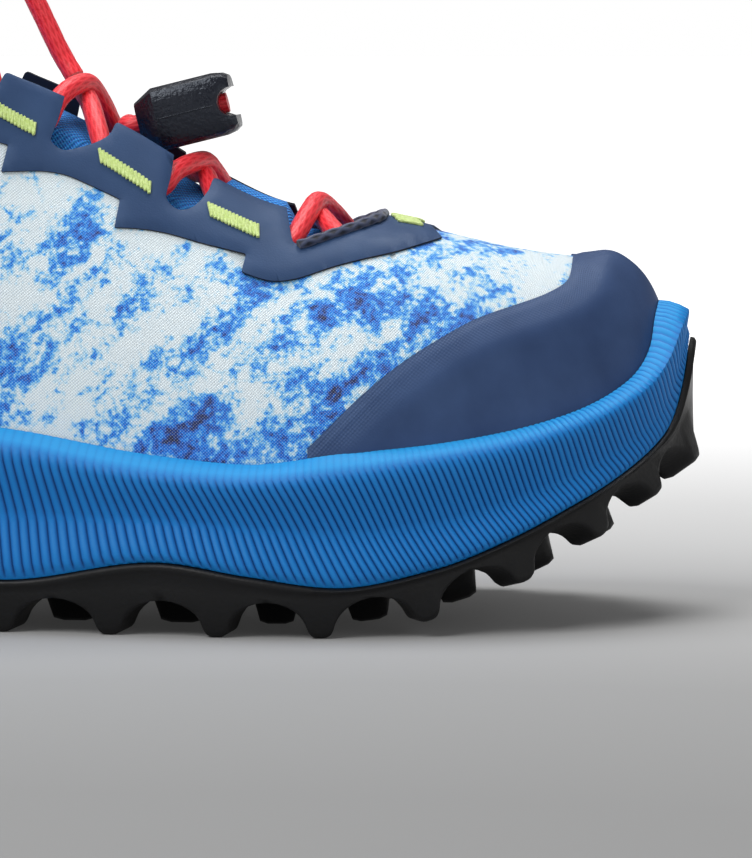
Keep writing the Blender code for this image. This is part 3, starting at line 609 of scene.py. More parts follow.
def tube_frame(path):
    """Two directions across a path at each of its points, turning as little as they can."""
    tangents = np.gradient(path, axis=0)
    tangents /= np.linalg.norm(tangents, axis=1)[:, None]
    side = np.cross(tangents[0], ACROSS_AT_START)
    frames = []
    for tangent in tangents:
        side = side - tangent * side.dot(tangent)
        side = side / np.linalg.norm(side)
        frames.append((side, np.cross(tangent, side)))
    return frames


def tube_faces(first, count, sides):
    """Faces of a closed tube of rings of points, from a first point on."""
    last = first + (count - 1) * sides
    ends = [tuple(reversed(range(first, first + sides))), tuple(range(last, last + sides))]
    return grid_faces(count, sides, True, first) + ends


# Lace: a round braid of elastic. Radius and braid in millimetres
LACE_RADIUS = 1.7
LACE_CLEAR = 0.7
LACE_STEP = 0.2
LACE_ROUNDING = 1.2
LACE_SIDES = 48
BRAID_STRANDS = 12
BRAID_PITCH = 4.4
BRAID_RELIEF = 0.08


def braided_tube(name, path, radius, finish, strands=BRAID_STRANDS, pitch=BRAID_PITCH, relief=BRAID_RELIEF):
    """A closed tube whose face is raised where its strands cross over it."""
    points, braid = [], []
    for centre, (side, other), reach in zip(path, tube_frame(path), lengths_along(path)):
        for k in range(LACE_SIDES):
            turn = 2 * math.pi * k / LACE_SIDES
            right = math.sin(strands * turn + 2 * math.pi * reach / pitch)
            left = math.sin(strands * turn - 2 * math.pi * reach / pitch)
            height = max(right, left) * 0.5 + 0.5
            out = math.cos(turn) * side + math.sin(turn) * other
            points.append(centre + (radius - relief * (1 - height)) * out)
            braid.append(height)
    return add_mesh(name, points, tube_faces(0, len(path), LACE_SIDES), [finish], {"braid": braid})


# Tongue's section and the lace's places on it, as in the part's source
TONGUE = 3.0
TONGUE_GAP = 2.2
TONGUE_FRONT_X, TONGUE_BACK_X = 53.0, -19.0
TONGUE_CROWN = 3.0
TONGUE_EDGE_DROPS = (10.5, 7.0, 3.6)
TONGUE_RISE = 17.0
TONGUE_RISE_DIRECTION = np.array([-0.80, 0.0, 0.60])
TONGUE_RISE_WIDER = -0.006
CROWN_OF_SECTION, LAST_OF_SECTION = 4, 8
SHOULDER_LIFT = 0.35
SECTION_STEP = 0.6


def tongue_section(x, sink):
    """One row across the tongue: up the inside of the lateral wall, over the crown, down the medial wall."""
    share = share_at_top(x)
    z = top_line["z"](share)
    sides = {}
    for side in SIDES:
        places = [w_at_height(side, share, z - drop) for drop in TONGUE_EDGE_DROPS]
        sides[side] = [off_wall(side, share, w, -WALL - TONGUE_GAP - sink) for w in places]
    crown = np.array([x, ridge_y(x), z - TONGUE_CROWN - sink])
    if share >= THROAT_FRONT:
        crown = off_wall(LATERAL, share, 1.0, -WALL - TONGUE_GAP - sink)
    shoulders = {side: 0.5 * (crown + sides[side][-1]) + [0, 0, SHOULDER_LIFT] for side in sides}
    return [*sides[LATERAL], shoulders[LATERAL], crown, shoulders[MEDIAL], *sides[MEDIAL][::-1]]


def on_tongue(x, place, lift):
    """Centre of a lace that lies on the tongue. The place counts the points of the tongue's section."""
    section = np.array(tongue_section(x, 0.0))

    def at(count):
        return np.array([np.interp(count, np.arange(len(section)), section[:, i]) for i in range(3)])

    across = at(place + SECTION_STEP) - at(place - SECTION_STEP)
    out = np.array([0.0, -across[2], across[1]])
    out /= np.linalg.norm(out)
    return at(place) + (LACE_CLEAR + LACE_RADIUS) * out + [0, 0, lift]


LOCK_CENTRE = np.array([13.0, 0.3, 84.8])
LOCK_TILT = math.radians(14.0)


def on_lock(along, across, up):
    """A point of the cord lock from its own axes: along its bore, across it and up."""
    x = along * math.cos(LOCK_TILT) - up * math.sin(LOCK_TILT)
    z = along * math.sin(LOCK_TILT) + up * math.cos(LOCK_TILT)
    return LOCK_CENTRE + [x, across, z]


# Columns: x in front, x behind, first place on the tongue, lift of the upper strand, lift of the lower strand
CROSSINGS = {
    "front": (40.0, 31.4, 1.9, 2.4, 0.0),
    "middle": (22.0, 10.5, 1.5, 2.2, 0.0),
    "top": (1.6, -9.0, 1.5, 4.2, 1.8),
}
STRAND_PLACES, STRAND_ARCH = (2.4, 3.2, CROWN_OF_SECTION, 4.8, 5.6), 1.5
UNDER_TAB_PLACE, UNDER_TAB_POINTS = 1.35, 5
TOP_EYELET_X = -16.5
RISING_END = (-5.6, 2.6, 89.8)
# The bow starts with points in space and ends with x, place and lift on the tongue
SLACK_START = [
    (-6.1, 3.2, 90.9),
    (-8.4, 4.2, 94.5),
    (-10.6, 4.2, 99.0),
    (-13.2, 3.6, 104.5),
    (-17.0, 1.5, 111.0),
    (-22.0, -1.5, 113.0),
    (-27.0, -5.0, 108.5),
]
SLACK_END = [(-19.5, 2.6, 4.5), (TOP_EYELET_X, 1.7, 0.4)]
# The tail runs along the lock's bore and ends with x, place and lift on the tongue
TAIL_IN_LOCK = (7.6, 2.0, -4.0, -8.2, -10.2)
TAIL_END = [(3.3, 4.8, 1.5), (5.4, 5.7, 0.4), (7.5, 6.4, 0.0)]
LACE_RUN_NODES = (("lace_crossing_front", "lace_crossing_middle"), ("lace_crossing_top",))


def crossing_strand(name, is_upper):
    """One strand of a crossing from the lateral to the medial side."""
    front_x, back_x, reach, upper_lift, lower_lift = CROSSINGS[name]
    places = [reach, *STRAND_PLACES, LAST_OF_SECTION - reach]
    start, end, lift = (back_x, front_x, upper_lift) if is_upper else (front_x, back_x, lower_lift)
    path = []
    for place in places:
        t = (place - places[0]) / (places[-1] - places[0])
        path.append(on_tongue(start + t * (end - start), place, lift * math.sin(math.pi * t) ** STRAND_ARCH))
    return path


def under_tab(from_x, to_x, is_lateral):
    """The lace's run between tongue and tab from one crossing to the next."""
    place = UNDER_TAB_PLACE if is_lateral else LAST_OF_SECTION - UNDER_TAB_PLACE
    return [on_tongue(x, place, 0.0) for x in np.linspace(from_x, to_x, UNDER_TAB_POINTS)[1:-1]]


def lace_runs():
    """The two strands from the front crossing to the top one, under the tabs of each side in turn."""
    front, middle, top = (CROSSINGS[name] for name in ("front", "middle", "top"))
    first = crossing_strand("front", True)[::-1] + under_tab(front[1], middle[0], True)
    first += crossing_strand("middle", False) + under_tab(middle[1], top[0], False)
    first += crossing_strand("top", True)[::-1] + under_tab(top[1], TOP_EYELET_X, True)
    second = crossing_strand("front", False) + under_tab(front[1], middle[0], False)
    second += crossing_strand("middle", True)[::-1] + under_tab(middle[1], top[0], True)
    second += crossing_strand("top", False)[:CROWN_OF_SECTION] + [np.array(RISING_END)]
    return first, second


LACE_RED = Finish("lace_red", (0.6, 0.012, 0.025), 0.42, Sheen_Weight=0.15, Sheen_Roughness=0.4)
# Painted shade darkens the grooves between the braid's strands, and a painted highlight lightens their tops
braid_height = LACE_RED.mark("braid").outputs["Fac"]
LACE_RED.colour(LACE_RED.ramp(braid_height, [(0.25, (0.72, 0.010, 0.020)), (0.7, (0.94, 0.028, 0.044)),
                                             (1.0, (1.0, 0.060, 0.080))]))
LACE_RED.grain(2600.0, 3.0, 0.0002, 0.5)


def add_cords():
    """The lace's bow behind the lock and its tail through the lock: free cords that end in the throat."""
    slack = SLACK_START + [on_tongue(*at) for at in SLACK_END]
    tail = [on_lock(along, 0.0, 0.0) for along in TAIL_IN_LOCK] + [on_tongue(*at) for at in TAIL_END]
    made = {}
    for name, points in (("lace_slack", slack), ("lace_tail", tail[::-1])):
        path = even_path(points, LACE_STEP, LACE_ROUNDING)
        piece = braided_tube(name + "_braid", path, LACE_RADIUS, LACE_RED)
        made[name] = (dress(piece, "lace_cord", name), path)
    return made


def add_laces():
    for tag, points, nodes in zip("ab", lace_runs(), LACE_RUN_NODES):
        path = even_path(points, LACE_STEP, LACE_ROUNDING)
        dress(braided_tube("lace_run_" + tag, path, LACE_RADIUS, LACE_RED), "lace_cord", *nodes)


CORDS = add_cords()
add_laces()


def ring(make_point, columns):
    """One loop of points round the shoe: lateral from heel to toe, then medial back to the heel."""
    lateral = [make_point(LATERAL, k / columns) for k in range(columns + 1)]
    medial = [make_point(MEDIAL, k / columns) for k in range(columns - 1, 0, -1)]
    return lateral + medial


def lofted_rings(rings, columns):
    """Faces of a stack of loops, closed at both ends by strips from the lateral to the medial side."""
    count = 2 * columns
    faces = grid_faces(len(rings), count)
    for level in (0, len(rings) - 1):
        start = level * count
        for k in range(columns):
            strip = [start + k, start + k + 1, start + (count - k - 1) % count, start + (count - k) % count]
            faces.append(tuple(dict.fromkeys(strip)))
    return faces


# Midsole: the part's waisted foam cup, with slanting ribs that run on over the lip round the toe
RIB_COUNT_COLUMNS = ("rib", "share")
RIB_COUNT = [(0.0, 0.0), (93.0, 0.62), (172.0, 1.0)]
RIBS_A_SIDE = int(RIB_COUNT[-1][0])
STEPS_A_RIB = 6
RIB_RELIEF, GROOVE_POWER = 0.34, 0.6
RIB_SLANT_COLUMNS = ("station", "degrees")
RIB_SLANT = [(-100.0, 0.0), (-80.0, 8.0), (-40.0, 8.0), (-12.0, 11.0), (16.0, 26.0), (33.0, 29.0),
             (50.0, 25.0), (75.0, 24.0), (90.0, 27.0), (104.0, 27.0), (112.0, 16.0), (118.0, 0.0)]
WAIST_FADE_FROM, WAIST_FADE_TO, WAIST_FADE = 62.0, 104.0, 0.85
TOE_SET_BACK = 0.6
LIP_RIBS_FROM, LIP_RIBS_TO, LIP_RIBS_FAINT = 58.0, 84.0, 0.3
LIP_STEPS, LIP_CROWN, LIP_RIB_FADE = (0.3, 0.65, 1.0), 0.4, 0.6
LIP_CLEAR, CAP_FROM, CAP_FROM_OVER = 0.15, 0.64, 0.02
INSIDE_LIP_SHARE, CUP_WALL_SHARE = 0.88, 0.5
# Levels of the foam's tone mark: painted shade under the midsole, in its cup and in the grooves between the
# ribs, and painted light on the lip's top
UNDER_PAINTED_SHADE, CUP_PAINTED_SHADE = 0.4, 0.5
WALL_TONE, WALL_GROOVE_PAINTED_SHADE = 0.60, 0.58
LIP_PAINTED_LIGHT, LIP_GROOVE_PAINTED_SHADE = 0.95, 0.55
# Columns: level from the seam at 0 to the ridge at 2, inset, share of the ribs' depth
WALL_LEVELS = [
    (0.00, 0.9, 0.0),
    (0.06, 0.55, 0.6),
    (0.14, 0.25, 1.0),
    (0.25, 0.1, 1.0),
    (0.48, 0.85, 1.0),
    (0.72, 1.75, 1.0),
    (0.90, 2.5, 1.0),
    (1.00, 2.65, 0.8),
    (1.10, 2.55, 1.0),
    (1.35, 1.85, 1.0),
    (1.60, 1.05, 1.0),
    (1.80, 0.5, 1.0),
    (1.92, 0.75, 0.8),
    (2.00, 1.3, 0.35),
]
CUP_FLOOR = 3.4
STEP_INSET = 3.0
CUP_EASE = 0.6
rib_slant = table_lines(RIB_SLANT, RIB_SLANT_COLUMNS)["degrees"]
rib_share = table_lines(RIB_COUNT, RIB_COUNT_COLUMNS)["share"]


def wall_height(place, level):
    """Height on the midsole's side at a station: level 0 is the seam, 1 the waist, 2 the lip's ridge."""
    seam, waist, ridge = (side_line[name](place) for name in ("seam", "waist", "ridge"))
    seam += GAP
    if level <= 1:
        return seam + level * (waist - seam)
    return waist + (level - 1) * (ridge - waist)


def step_height(side, share, inset):
    """Top of the outsole inside its edge: level with the seam, but under the cup's floor at the toe."""
    inner = float(sole_point(side, share, inset)[0])
    return min(side_line["seam"](station(side, share)), cup_height(inner) - CUP_FLOOR)


def eased(side, share, inset):
    """The wall's inset: its waist fades towards the toe, and all of it stands back there."""
    place = station(side, share)
    fade = WAIST_FADE * smooth_step((place - WAIST_FADE_FROM) / (WAIST_FADE_TO - WAIST_FADE_FROM))
    return inset * (1 - fade) + TOE_SET_BACK * toe_part(place)


def lip_offset(share):
    """Gap between the last and the lip: the toe cap's film goes in between at the front."""
    return GAP + (OVERLAY + LIP_CLEAR) * smooth_step((share - CAP_FROM) / CAP_FROM_OVER)


FOAM_BLUE = Finish("foam_blue", (0.006, 0.19, 0.62), 0.55, Specular_IOR_Level=0.3)
# The tone mark is painted light and shade: dark in the grooves, the underside and the cup, light on the lip's
# top. The cloud is the foam's own uneven colour
foam_painted_shading = FOAM_BLUE.mark("tone").outputs["Fac"]
foam_cloud = FOAM_BLUE.noise(FOAM_BLUE.place(), 60.0, 3.0)
foam_value = FOAM_BLUE.sum("ADD", foam_painted_shading, FOAM_BLUE.sum("MULTIPLY", foam_cloud, 0.12))
FOAM_BLUE.colour(FOAM_BLUE.ramp(foam_value, [(0.05, (0.001, 0.032, 0.16)), (0.55, (0.0045, 0.18, 0.57)),
                                             (1.0, (0.010, 0.32, 0.74))]))
FOAM_BLUE.grain(2400.0, 3.0, 0.00015, 0.35)


def add_midsole():
    columns = RIBS_A_SIDE * STEPS_A_RIB

    def slid(side, share, level):
        """A rib leans: its lower end stands nearer the toe."""
        place = station(side, share)
        rise = wall_height(place, 2.0) - wall_height(place, level)
        lean = rise * math.tan(math.radians(rib_slant(place))) / SIDES[side][1][-1]
        return min(max(share + lean, 0.0), 1.0)

    def groove(count):
        """Depth of the grooves between ribs, from 0 on a rib to 1 between two."""
        return 1 - abs(math.sin(math.pi * (count % 1.0))) ** GROOVE_POWER

    def lip_groove(side, share, cut):
        """Round the toe the ribs run on over the lip."""
        reach = (station(side, share) - LIP_RIBS_FROM) / (LIP_RIBS_TO - LIP_RIBS_FROM)
        return cut * (LIP_RIBS_FAINT + (1 - LIP_RIBS_FAINT) * smooth_step(reach))

    def underside(side, share, cut):
        x, y = sole_point(side, share, STEP_INSET + 2 * GAP)
        return (x, y, step_height(side, share, STEP_INSET) + 1.5 * GAP)

    def lip_w(side, share):
        return w_at_height(side, share, side_line["lip"](station(side, share)))

    def lip_point(side, share, cut, across):
        """The lip's top, from its ridge at 0 to the upper at 1, a little crowned."""
        ridge = np.array([*sole_point(side, share, eased(side, share, WALL_LEVELS[-1][1])),
                          wall_height(station(side, share), 2.0)])
        inner = off_wall(side, share, lip_w(side, share), lip_offset(share))
        crown = LIP_CROWN * math.sin(math.pi * across)
        sunken = RIB_RELIEF * lip_groove(side, share, cut) * (1 - LIP_RIB_FADE * across)
        return ridge + across * (inner - ridge) + [0.0, 0.0, crown - sunken]

    def inside_lip(side, share, cut):
        return off_wall(side, share, lip_w(side, share) * INSIDE_LIP_SHARE, lip_offset(share))

    def cup_wall(side, share, cut):
        return off_wall(side, share, lip_w(side, share) * CUP_WALL_SHARE, GAP + CUP_EASE * 0.5)

    def cup_floor(side, share, cut):
        x, y, _ = off_wall(side, share, 0.0, GAP + CUP_EASE)
        return (x, y, cup_height(float(x)))

    def ribbed_ring(make):
        """A loop with equal steps along each rib: make gets the side, the share and the groove's depth."""
        return ring(lambda side, t: make(side, rib_share(t * RIBS_A_SIDE), groove(t * RIBS_A_SIDE)), columns)

    # The underside is painted darker as painted shade
    rings, painted_shading = [ribbed_ring(underside)], [[UNDER_PAINTED_SHADE] * (2 * columns)]
    for level, inset, ribs in WALL_LEVELS:
        def wall(side, share, cut, level=level, inset=inset, ribs=ribs):
            leaned = slid(side, share, level)
            depth = eased(side, leaned, inset) + ribs * RIB_RELIEF * cut
            return (*sole_point(side, leaned, depth), wall_height(station(side, leaned), level))

        # Painted shade: the grooves between the ribs are darker
        def tone(side, share, cut, ribs=ribs):
            return WALL_TONE - WALL_GROOVE_PAINTED_SHADE * ribs * cut

        rings.append(ribbed_ring(wall))
        painted_shading.append(ribbed_ring(tone))
    # The lip's top is painted lighter as painted light, with painted shade in its grooves
    for across in LIP_STEPS:
        rings.append(ribbed_ring(lambda side, share, cut, across=across: lip_point(side, share, cut, across)))
        painted_shading.append(ribbed_ring(lambda *at: LIP_PAINTED_LIGHT - LIP_GROOVE_PAINTED_SHADE * lip_groove(*at)))
    # Inside the lip and in the cup the foam is painted darker as painted shade
    for made in (inside_lip, cup_wall, cup_floor):
        rings.append(ribbed_ring(made))
        painted_shading.append([CUP_PAINTED_SHADE] * (2 * columns))
    points = [p for loop in rings for p in loop]
    marks = {"tone": [t for loop in painted_shading for t in loop]}
    piece = add_mesh("midsole_ribbed", points, lofted_rings(rings, columns), [FOAM_BLUE], marks, sharp=55.0)
    return dress(piece, "midsole_foam", "midsole")


# Outsole: the part's lugs with round arches and tips, under a beaded seam
LUG_HEIGHT = 6.0
ROCKER_START_X, ROCKER_RISE, ROCKER_POWER = 37.0, 26.0, 1.9
HEEL_BEVEL_X, HEEL_BEVEL_RISE = -68.0, 7.0
LUG_EDGE_COLUMNS = ("number", "share")
LUG_EDGES = [(0, 0.0), (7, 0.548), (9, 0.694), (11, 0.829), (12, 0.885), (13, 0.937), (14, 1.0)]
LUGS_A_SIDE = LUG_EDGES[-1][0]
# Half of one pitch, from arch to tip. Columns: phase, share of the lug's height
LUG_PROFILE = [(0.0, 0.0), (0.10, 0.033), (0.19, 0.127), (0.255, 0.243), (0.305, 0.377), (0.34, 0.51),
               (0.363, 0.634), (0.378, 0.75), (0.392, 0.85), (0.412, 0.93), (0.44, 0.98), (0.475, 1.0)]
TIP_ROUNDING, TIP_ROUNDING_SHARE, TIP_ROUNDING_CUT = 1.0, 0.4, 0.3
BEAD, BEAD_HEIGHT, BEAD_ROOM = 0.45, 1.5, 2.2
# Columns: way out as a share of the bead, way down as a share of its height
BEAD_PROFILE = [(0.3, 0.1), (1.0, 0.5), (0.5, 0.9), (0.0, 1.1)]
SEAM_LIFT, SEAM_INSET = 0.3, 0.55
FACE_INSET, FACE_SHARE = 0.1, 0.4
EDGE_LUG_REACH, TOE_LUG_REACH = 12.0, 6.0
TOE_LUGS_FROM, TOE_LUGS_TO = 0.72, 0.90
TOE_LUG_SHARE = 0.8
TREAD_HEADING = math.radians(4.0)
TREAD_END = 0.06
EDGE_LUG_DRAFT, EDGE_LUG_SLOPE = 1.6, 0.5
STEP_EASE = 0.5
OUTSOLE_INSET = 0.6
TOE_WRAP = 0.7
# Columns: start and end across the tread
CENTRE_LUGS = [(0.08, 0.42), (0.58, 0.92)]
CENTRE_LUG_TIP, CENTRE_LUG_FOOT = 0.165, 0.315
# Columns: way in from the lug's end, share of its height
CENTRE_LUG_EDGE = [(0.0, 0.0), (0.03, 0.55), (0.055, 0.9), (0.085, 1.0)]


def base_height(x):
    """Underside of the outsole between its lugs: flat, with the toe's rocker and the heel's bevel."""
    toe = max(0.0, (x - ROCKER_START_X) / (TOE_X - ROCKER_START_X))
    heel = max(0.0, (HEEL_BEVEL_X - x) / (HEEL_BEVEL_X - HEEL_X))
    return LUG_HEIGHT + ROCKER_RISE * toe**ROCKER_POWER + HEEL_BEVEL_RISE * heel**2


def sunk(x, y, share):
    """A point of the underside, let down by a share of the lug's height square to the base."""
    slope = base_height(x + 0.5) - base_height(x - 0.5)
    down = np.array([slope, 0.0, -1.0]) / math.hypot(slope, 1.0)
    return np.array([x, y, base_height(x)]) + share * LUG_HEIGHT * down


def toward_toe(share):
    """Runs from 0 to 1 where the lugs change to the toe's smaller ones."""
    return min(max((share - TOE_LUGS_FROM) / (TOE_LUGS_TO - TOE_LUGS_FROM), 0.0), 1.0)


def lug_reach(share):
    """How far an edge lug runs in from the edge."""
    return EDGE_LUG_REACH + toward_toe(share) * (TOE_LUG_REACH - EDGE_LUG_REACH)


def medial_share():
    """A function from a share of the lateral side to the medial side's share across the tread from it."""
    shares = np.linspace(0.0, 1.0, 201)
    ahead = np.array([math.cos(TREAD_HEADING), math.sin(TREAD_HEADING)])
    reach = {side: [sole_point(side, float(share)).dot(ahead) for share in shares] for side in SIDES}
    medial = np.maximum.accumulate(reach[MEDIAL])

    def across(share):
        opposite = np.interp(np.interp(share, shares, reach[LATERAL]), medial, shares)
        return float(share + (opposite - share) * min(1.0, share / TREAD_END, (1 - share) / TREAD_END))

    return across


across_from = medial_share()


def edge_lug(side, share, depth):
    """Half a row of the tread: over the seam's bead, down the lug's face, round its tip, up to the base."""
    inset = OUTSOLE_INSET - TOE_WRAP * toe_part(station(side, share))
    foot, end = inset + EDGE_LUG_SLOPE * depth, lug_reach(share)
    rounding = min(TIP_ROUNDING, TIP_ROUNDING_SHARE * depth * LUG_HEIGHT)
    seam_z = side_line["seam"](station(side, share)) + SEAM_LIFT
    base_z = base_height(float(sole_point(side, share, inset)[0]))
    bead = BEAD_HEIGHT * min(1.0, (seam_z - base_z) / (BEAD_ROOM * BEAD_HEIGHT))

    bead_foot = seam_z - BEAD_PROFILE[-1][1] * bead

    def level(inset, z):
        return np.array([*sole_point(side, share, inset), z])

    def lug(inset, up):
        return sunk(*sole_point(side, share, inset), depth - up / LUG_HEIGHT)

    return [
        level(STEP_INSET, step_height(side, share, STEP_INSET) - STEP_EASE),
        level(inset + SEAM_INSET, seam_z),
        *(level(inset - out * BEAD, seam_z - down * bead) for out, down in BEAD_PROFILE),
        level(inset + FACE_INSET, FACE_SHARE * bead_foot + (1 - FACE_SHARE) * base_z),
        lug(foot, rounding),
        lug(foot + TIP_ROUNDING_CUT * rounding, TIP_ROUNDING_CUT * rounding),
        lug(foot + rounding, 0.0),
        lug(end - rounding, 0.0),
        lug(end, TIP_ROUNDING_SHARE * rounding),
        sunk(*sole_point(side, share, end + EDGE_LUG_DRAFT), 0.0),
    ]


def tread_row(lateral_share, depth, centre_depth):
    """One row across the underside, from inside the lateral seam to inside the medial seam."""
    depth *= 1 - toward_toe(lateral_share) * (1 - TOE_LUG_SHARE)
    lateral = edge_lug(LATERAL, lateral_share, depth)
    medial = edge_lug(MEDIAL, across_from(lateral_share), depth)
    start, stop = lateral[-1], medial[-1]
    wide = np.linalg.norm(stop - start) > 2 * EDGE_LUG_REACH
    centre = []
    for first, last in CENTRE_LUGS:
        places = [(first + step, deep) for step, deep in CENTRE_LUG_EDGE]
        places += [(last - step, deep) for step, deep in reversed(CENTRE_LUG_EDGE)]
        for place, deep in places:
            x, y = (start + place * (stop - start))[:2]
            centre.append(sunk(x, y, deep * centre_depth if wide else 0.0))
    return lateral + centre + medial[::-1]


RUBBER_BLACK = Finish("rubber_black", (0.0035, 0.0036, 0.0042), 0.5, Specular_IOR_Level=0.32)
RUBBER_BLACK.uneven_gloss(90.0, 4.0, 0.36, 0.62)
RUBBER_BLACK.grain(1500.0, 3.0, 0.0002, 0.4)


def add_outsole():
    phases = LUG_PROFILE + [(1 - phase, depth) for phase, depth in LUG_PROFILE[:0:-1]]
    lug_share = table_lines(LUG_EDGES, LUG_EDGE_COLUMNS)["share"]
    rows = []
    for i in range(LUGS_A_SIDE):
        for phase, depth in phases:
            from_arch = (min(phase, 1 - phase) - CENTRE_LUG_TIP) / (CENTRE_LUG_FOOT - CENTRE_LUG_TIP)
            rows.append(tread_row(lug_share(i + phase), depth, 1 - smooth_step(from_arch)))
    rows.append(tread_row(1.0, 0.0, 0.0))
    points, faces = [p for row in rows for p in row], grid_faces(len(rows), len(rows[0]))
    piece = add_mesh("outsole_lugs", points, faces, [RUBBER_BLACK], sharp=60.0)
    return dress(piece, "outsole_rubber", "outsole")


add_midsole()
add_outsole()


def joined_shell(name, patches, finishes, sharp=50.0):
    """A closed shell from patches of (outer points, inner points, cloth, cells), joined where they meet."""
    points, faces, which, cloth, edges = [], [], [], [], {}
    inside = min(1, len(finishes) - 1)
    for outer, inner, weave, cells in patches:
        first = len(points)
        for out, within, thread in zip(outer, inner, weave):
            points += [out, within]
            cloth += [thread] * 2
        for cell in cells:
            front = tuple(first + 2 * i for i in cell)
            faces += [front, tuple(i + 1 for i in reversed(front))]
            which += [0, inside]
    key = [tuple(np.round(p, 2)) for p in points]
    for front in faces[::2]:
        for a, b in zip(front, front[1:] + front[:1]):
            if key[a] != key[b]:
                edges.setdefault(frozenset((key[a], key[b])), []).append((a, b))
    for uses in edges.values():
        if len(uses) == 1:
            a, b = uses[0]
            faces.append((b, a, a + 1, b + 1))
            which.append(inside)
    return add_mesh(name, points, faces, finishes, {"cloth": cloth}, which, sharp)


def shell(name, grids, finishes, sharp=50.0):
    """A closed shell from grids of (outer, inner, cloth) rows. A second finish goes inside and on the rim."""
    patches = []
    for grid in grids:
        cells = grid_faces(len(grid[0]), len(grid[0][0]), False)
        patches.append((*([p for row in layer for p in row] for layer in grid), cells))
    return joined_shell(name, patches, finishes, sharp)


def cloth_rows(grid, places, strip):
    """Thread coordinates for a grid: along the side by share, up the wall by length, and the strip."""
    lengths = [0.0] * len(grid[0])
    cloth = []
    for r, line in enumerate(grid):
        if r:
            lengths = [d + float(np.linalg.norm(p - q)) for d, p, q in zip(lengths, line, grid[r - 1])]
        cloth.append([(at[1] * SIDES[LATERAL][1][-1], d, strip(*at)) for at, d in zip(places[r], lengths)])
    return cloth


def wall_shell(name, finishes, shares, rows, low, high, outside, inside, strip=lambda *at: 0.0, sharp=50.0):
    """A shell along both sides of the last. Its low and high edge are functions of side and share.

    The offsets of its two faces, and the strip stored with its threads, are functions of side, share and w.
    """
    grids = []
    for side in SIDES:
        edges = [(share, low(side, share), high(side, share)) for share in shares]
        places = [[(side, share, start + (end - start) * r / rows) for share, start, end in edges]
                  for r in range(rows + 1)]
        outer, inner = ([[off_wall(*at, offset(*at)) for at in line] for line in places]
                        for offset in (outside, inside))
        grids.append((outer, inner, cloth_rows(outer, places, strip)))
    return shell(name, grids, finishes, sharp)


def joined_shares(start, middle, end, before, after):
    """Shares of a side in two even runs that meet in the middle."""
    return [*np.linspace(start, middle, before).tolist(), *np.linspace(middle, end, after)[1:].tolist()]


# Upper: a printed mesh wall with a knit lining
UPPER_COLUMNS, UPPER_ROWS = 170, 34
# Columns: x, drop of the wall's end below the top line
THROAT_DROP = [(-26.0, 0.0), (-24.4, 9.5), (30.0, 9.5), (32.0, 8.0), (36.0, 6.4), (41.0, 4.5), (46.0, 2.6)]
# Columns: side, share, w, half share, half w, depth
CREASES = [
    (LATERAL, 0.615, 0.62, 0.010, 0.16, 0.35),
    (LATERAL, 0.655, 0.50, 0.012, 0.18, 0.28),
    (LATERAL, 0.470, 0.45, 0.016, 0.20, 0.30),
    (LATERAL, 0.300, 0.55, 0.020, 0.16, 0.40),
    (MEDIAL, 0.600, 0.60, 0.012, 0.16, 0.35),
    (MEDIAL, 0.650, 0.52, 0.012, 0.18, 0.28),
    (MEDIAL, 0.450, 0.48, 0.016, 0.20, 0.30),
    (MEDIAL, 0.290, 0.55, 0.020, 0.16, 0.40),
]
CREASE_SLANT = 0.12


def crease(side, share, w):
    """How far the mesh sinks at a place: the listed creases, softly edged."""
    depth = 0.0
    for on_side, at_share, at_w, half_share, half_w, deep in CREASES:
        if on_side == side:
            up = w - at_w
            away = ((share - at_share + CREASE_SLANT * up) / half_share) ** 2 + (up / half_w) ** 2
            depth += deep * math.exp(-away)
    return depth


def upper_top(side, share):
    """Where the upper's wall ends: at its top edge, but along the throat below that, under the tabs."""
    if not THROAT_BACK < share < THROAT_FRONT:
        return 1.0
    drop = np.interp(top_line["x"](share), *zip(*THROAT_DROP))
    return w_at_height(side, share, top_line["z"](share) - drop)


PRINT_STOPS = [
    (0.00, (0.88, 0.97, 1.0)),
    (0.38, (0.84, 0.95, 1.0)),
    (0.48, (0.58, 0.84, 1.0)),
    (0.56, (0.18, 0.56, 0.98)),
    (0.65, (0.008, 0.28, 0.93)),
    (0.77, (0.012, 0.15, 0.66)),
    (0.87, (0.010, 0.045, 0.24)),
    (1.00, (0.012, 0.018, 0.08)),
]
PRINT_SLANT, PRINT_DABS, PRINT_ROUGHNESS, PRINT_LEVEL = 0.65, (52.0, 52.0, 120.0), 0.6, -1.47
# Columns: scale, share, detail, whether the noise is drawn out to dabs
PRINT_NOISE = [
    (16.0, 0.45, 2.0, False),
    (1.0, 1.7, 3.0, True),
    (260.0, 0.95, 3.0, False),
    (1000.0, 0.8, 2.0, False),
]
# Painted shade in the gaps between the weave's threads, and a painted highlight on their tops
THREAD_PAINTED_SHADE = [(0.0, (0.72, 0.78, 0.86)), (0.45, (0.99, 0.99, 0.99)), (1.0, (1.0, 1.0, 1.0))]
THREAD_PAINTED_HIGHLIGHT, PAINTED_HIGHLIGHT_COLOUR = [(0.72, 0.0), (1.0, 0.42)], (0.88, 0.93, 0.98, 1.0)
MESH_PRINT = Finish("mesh_print", (0.7, 0.8, 0.9), 0.75, Sheen_Weight=0.1, Sheen_Roughness=0.5)


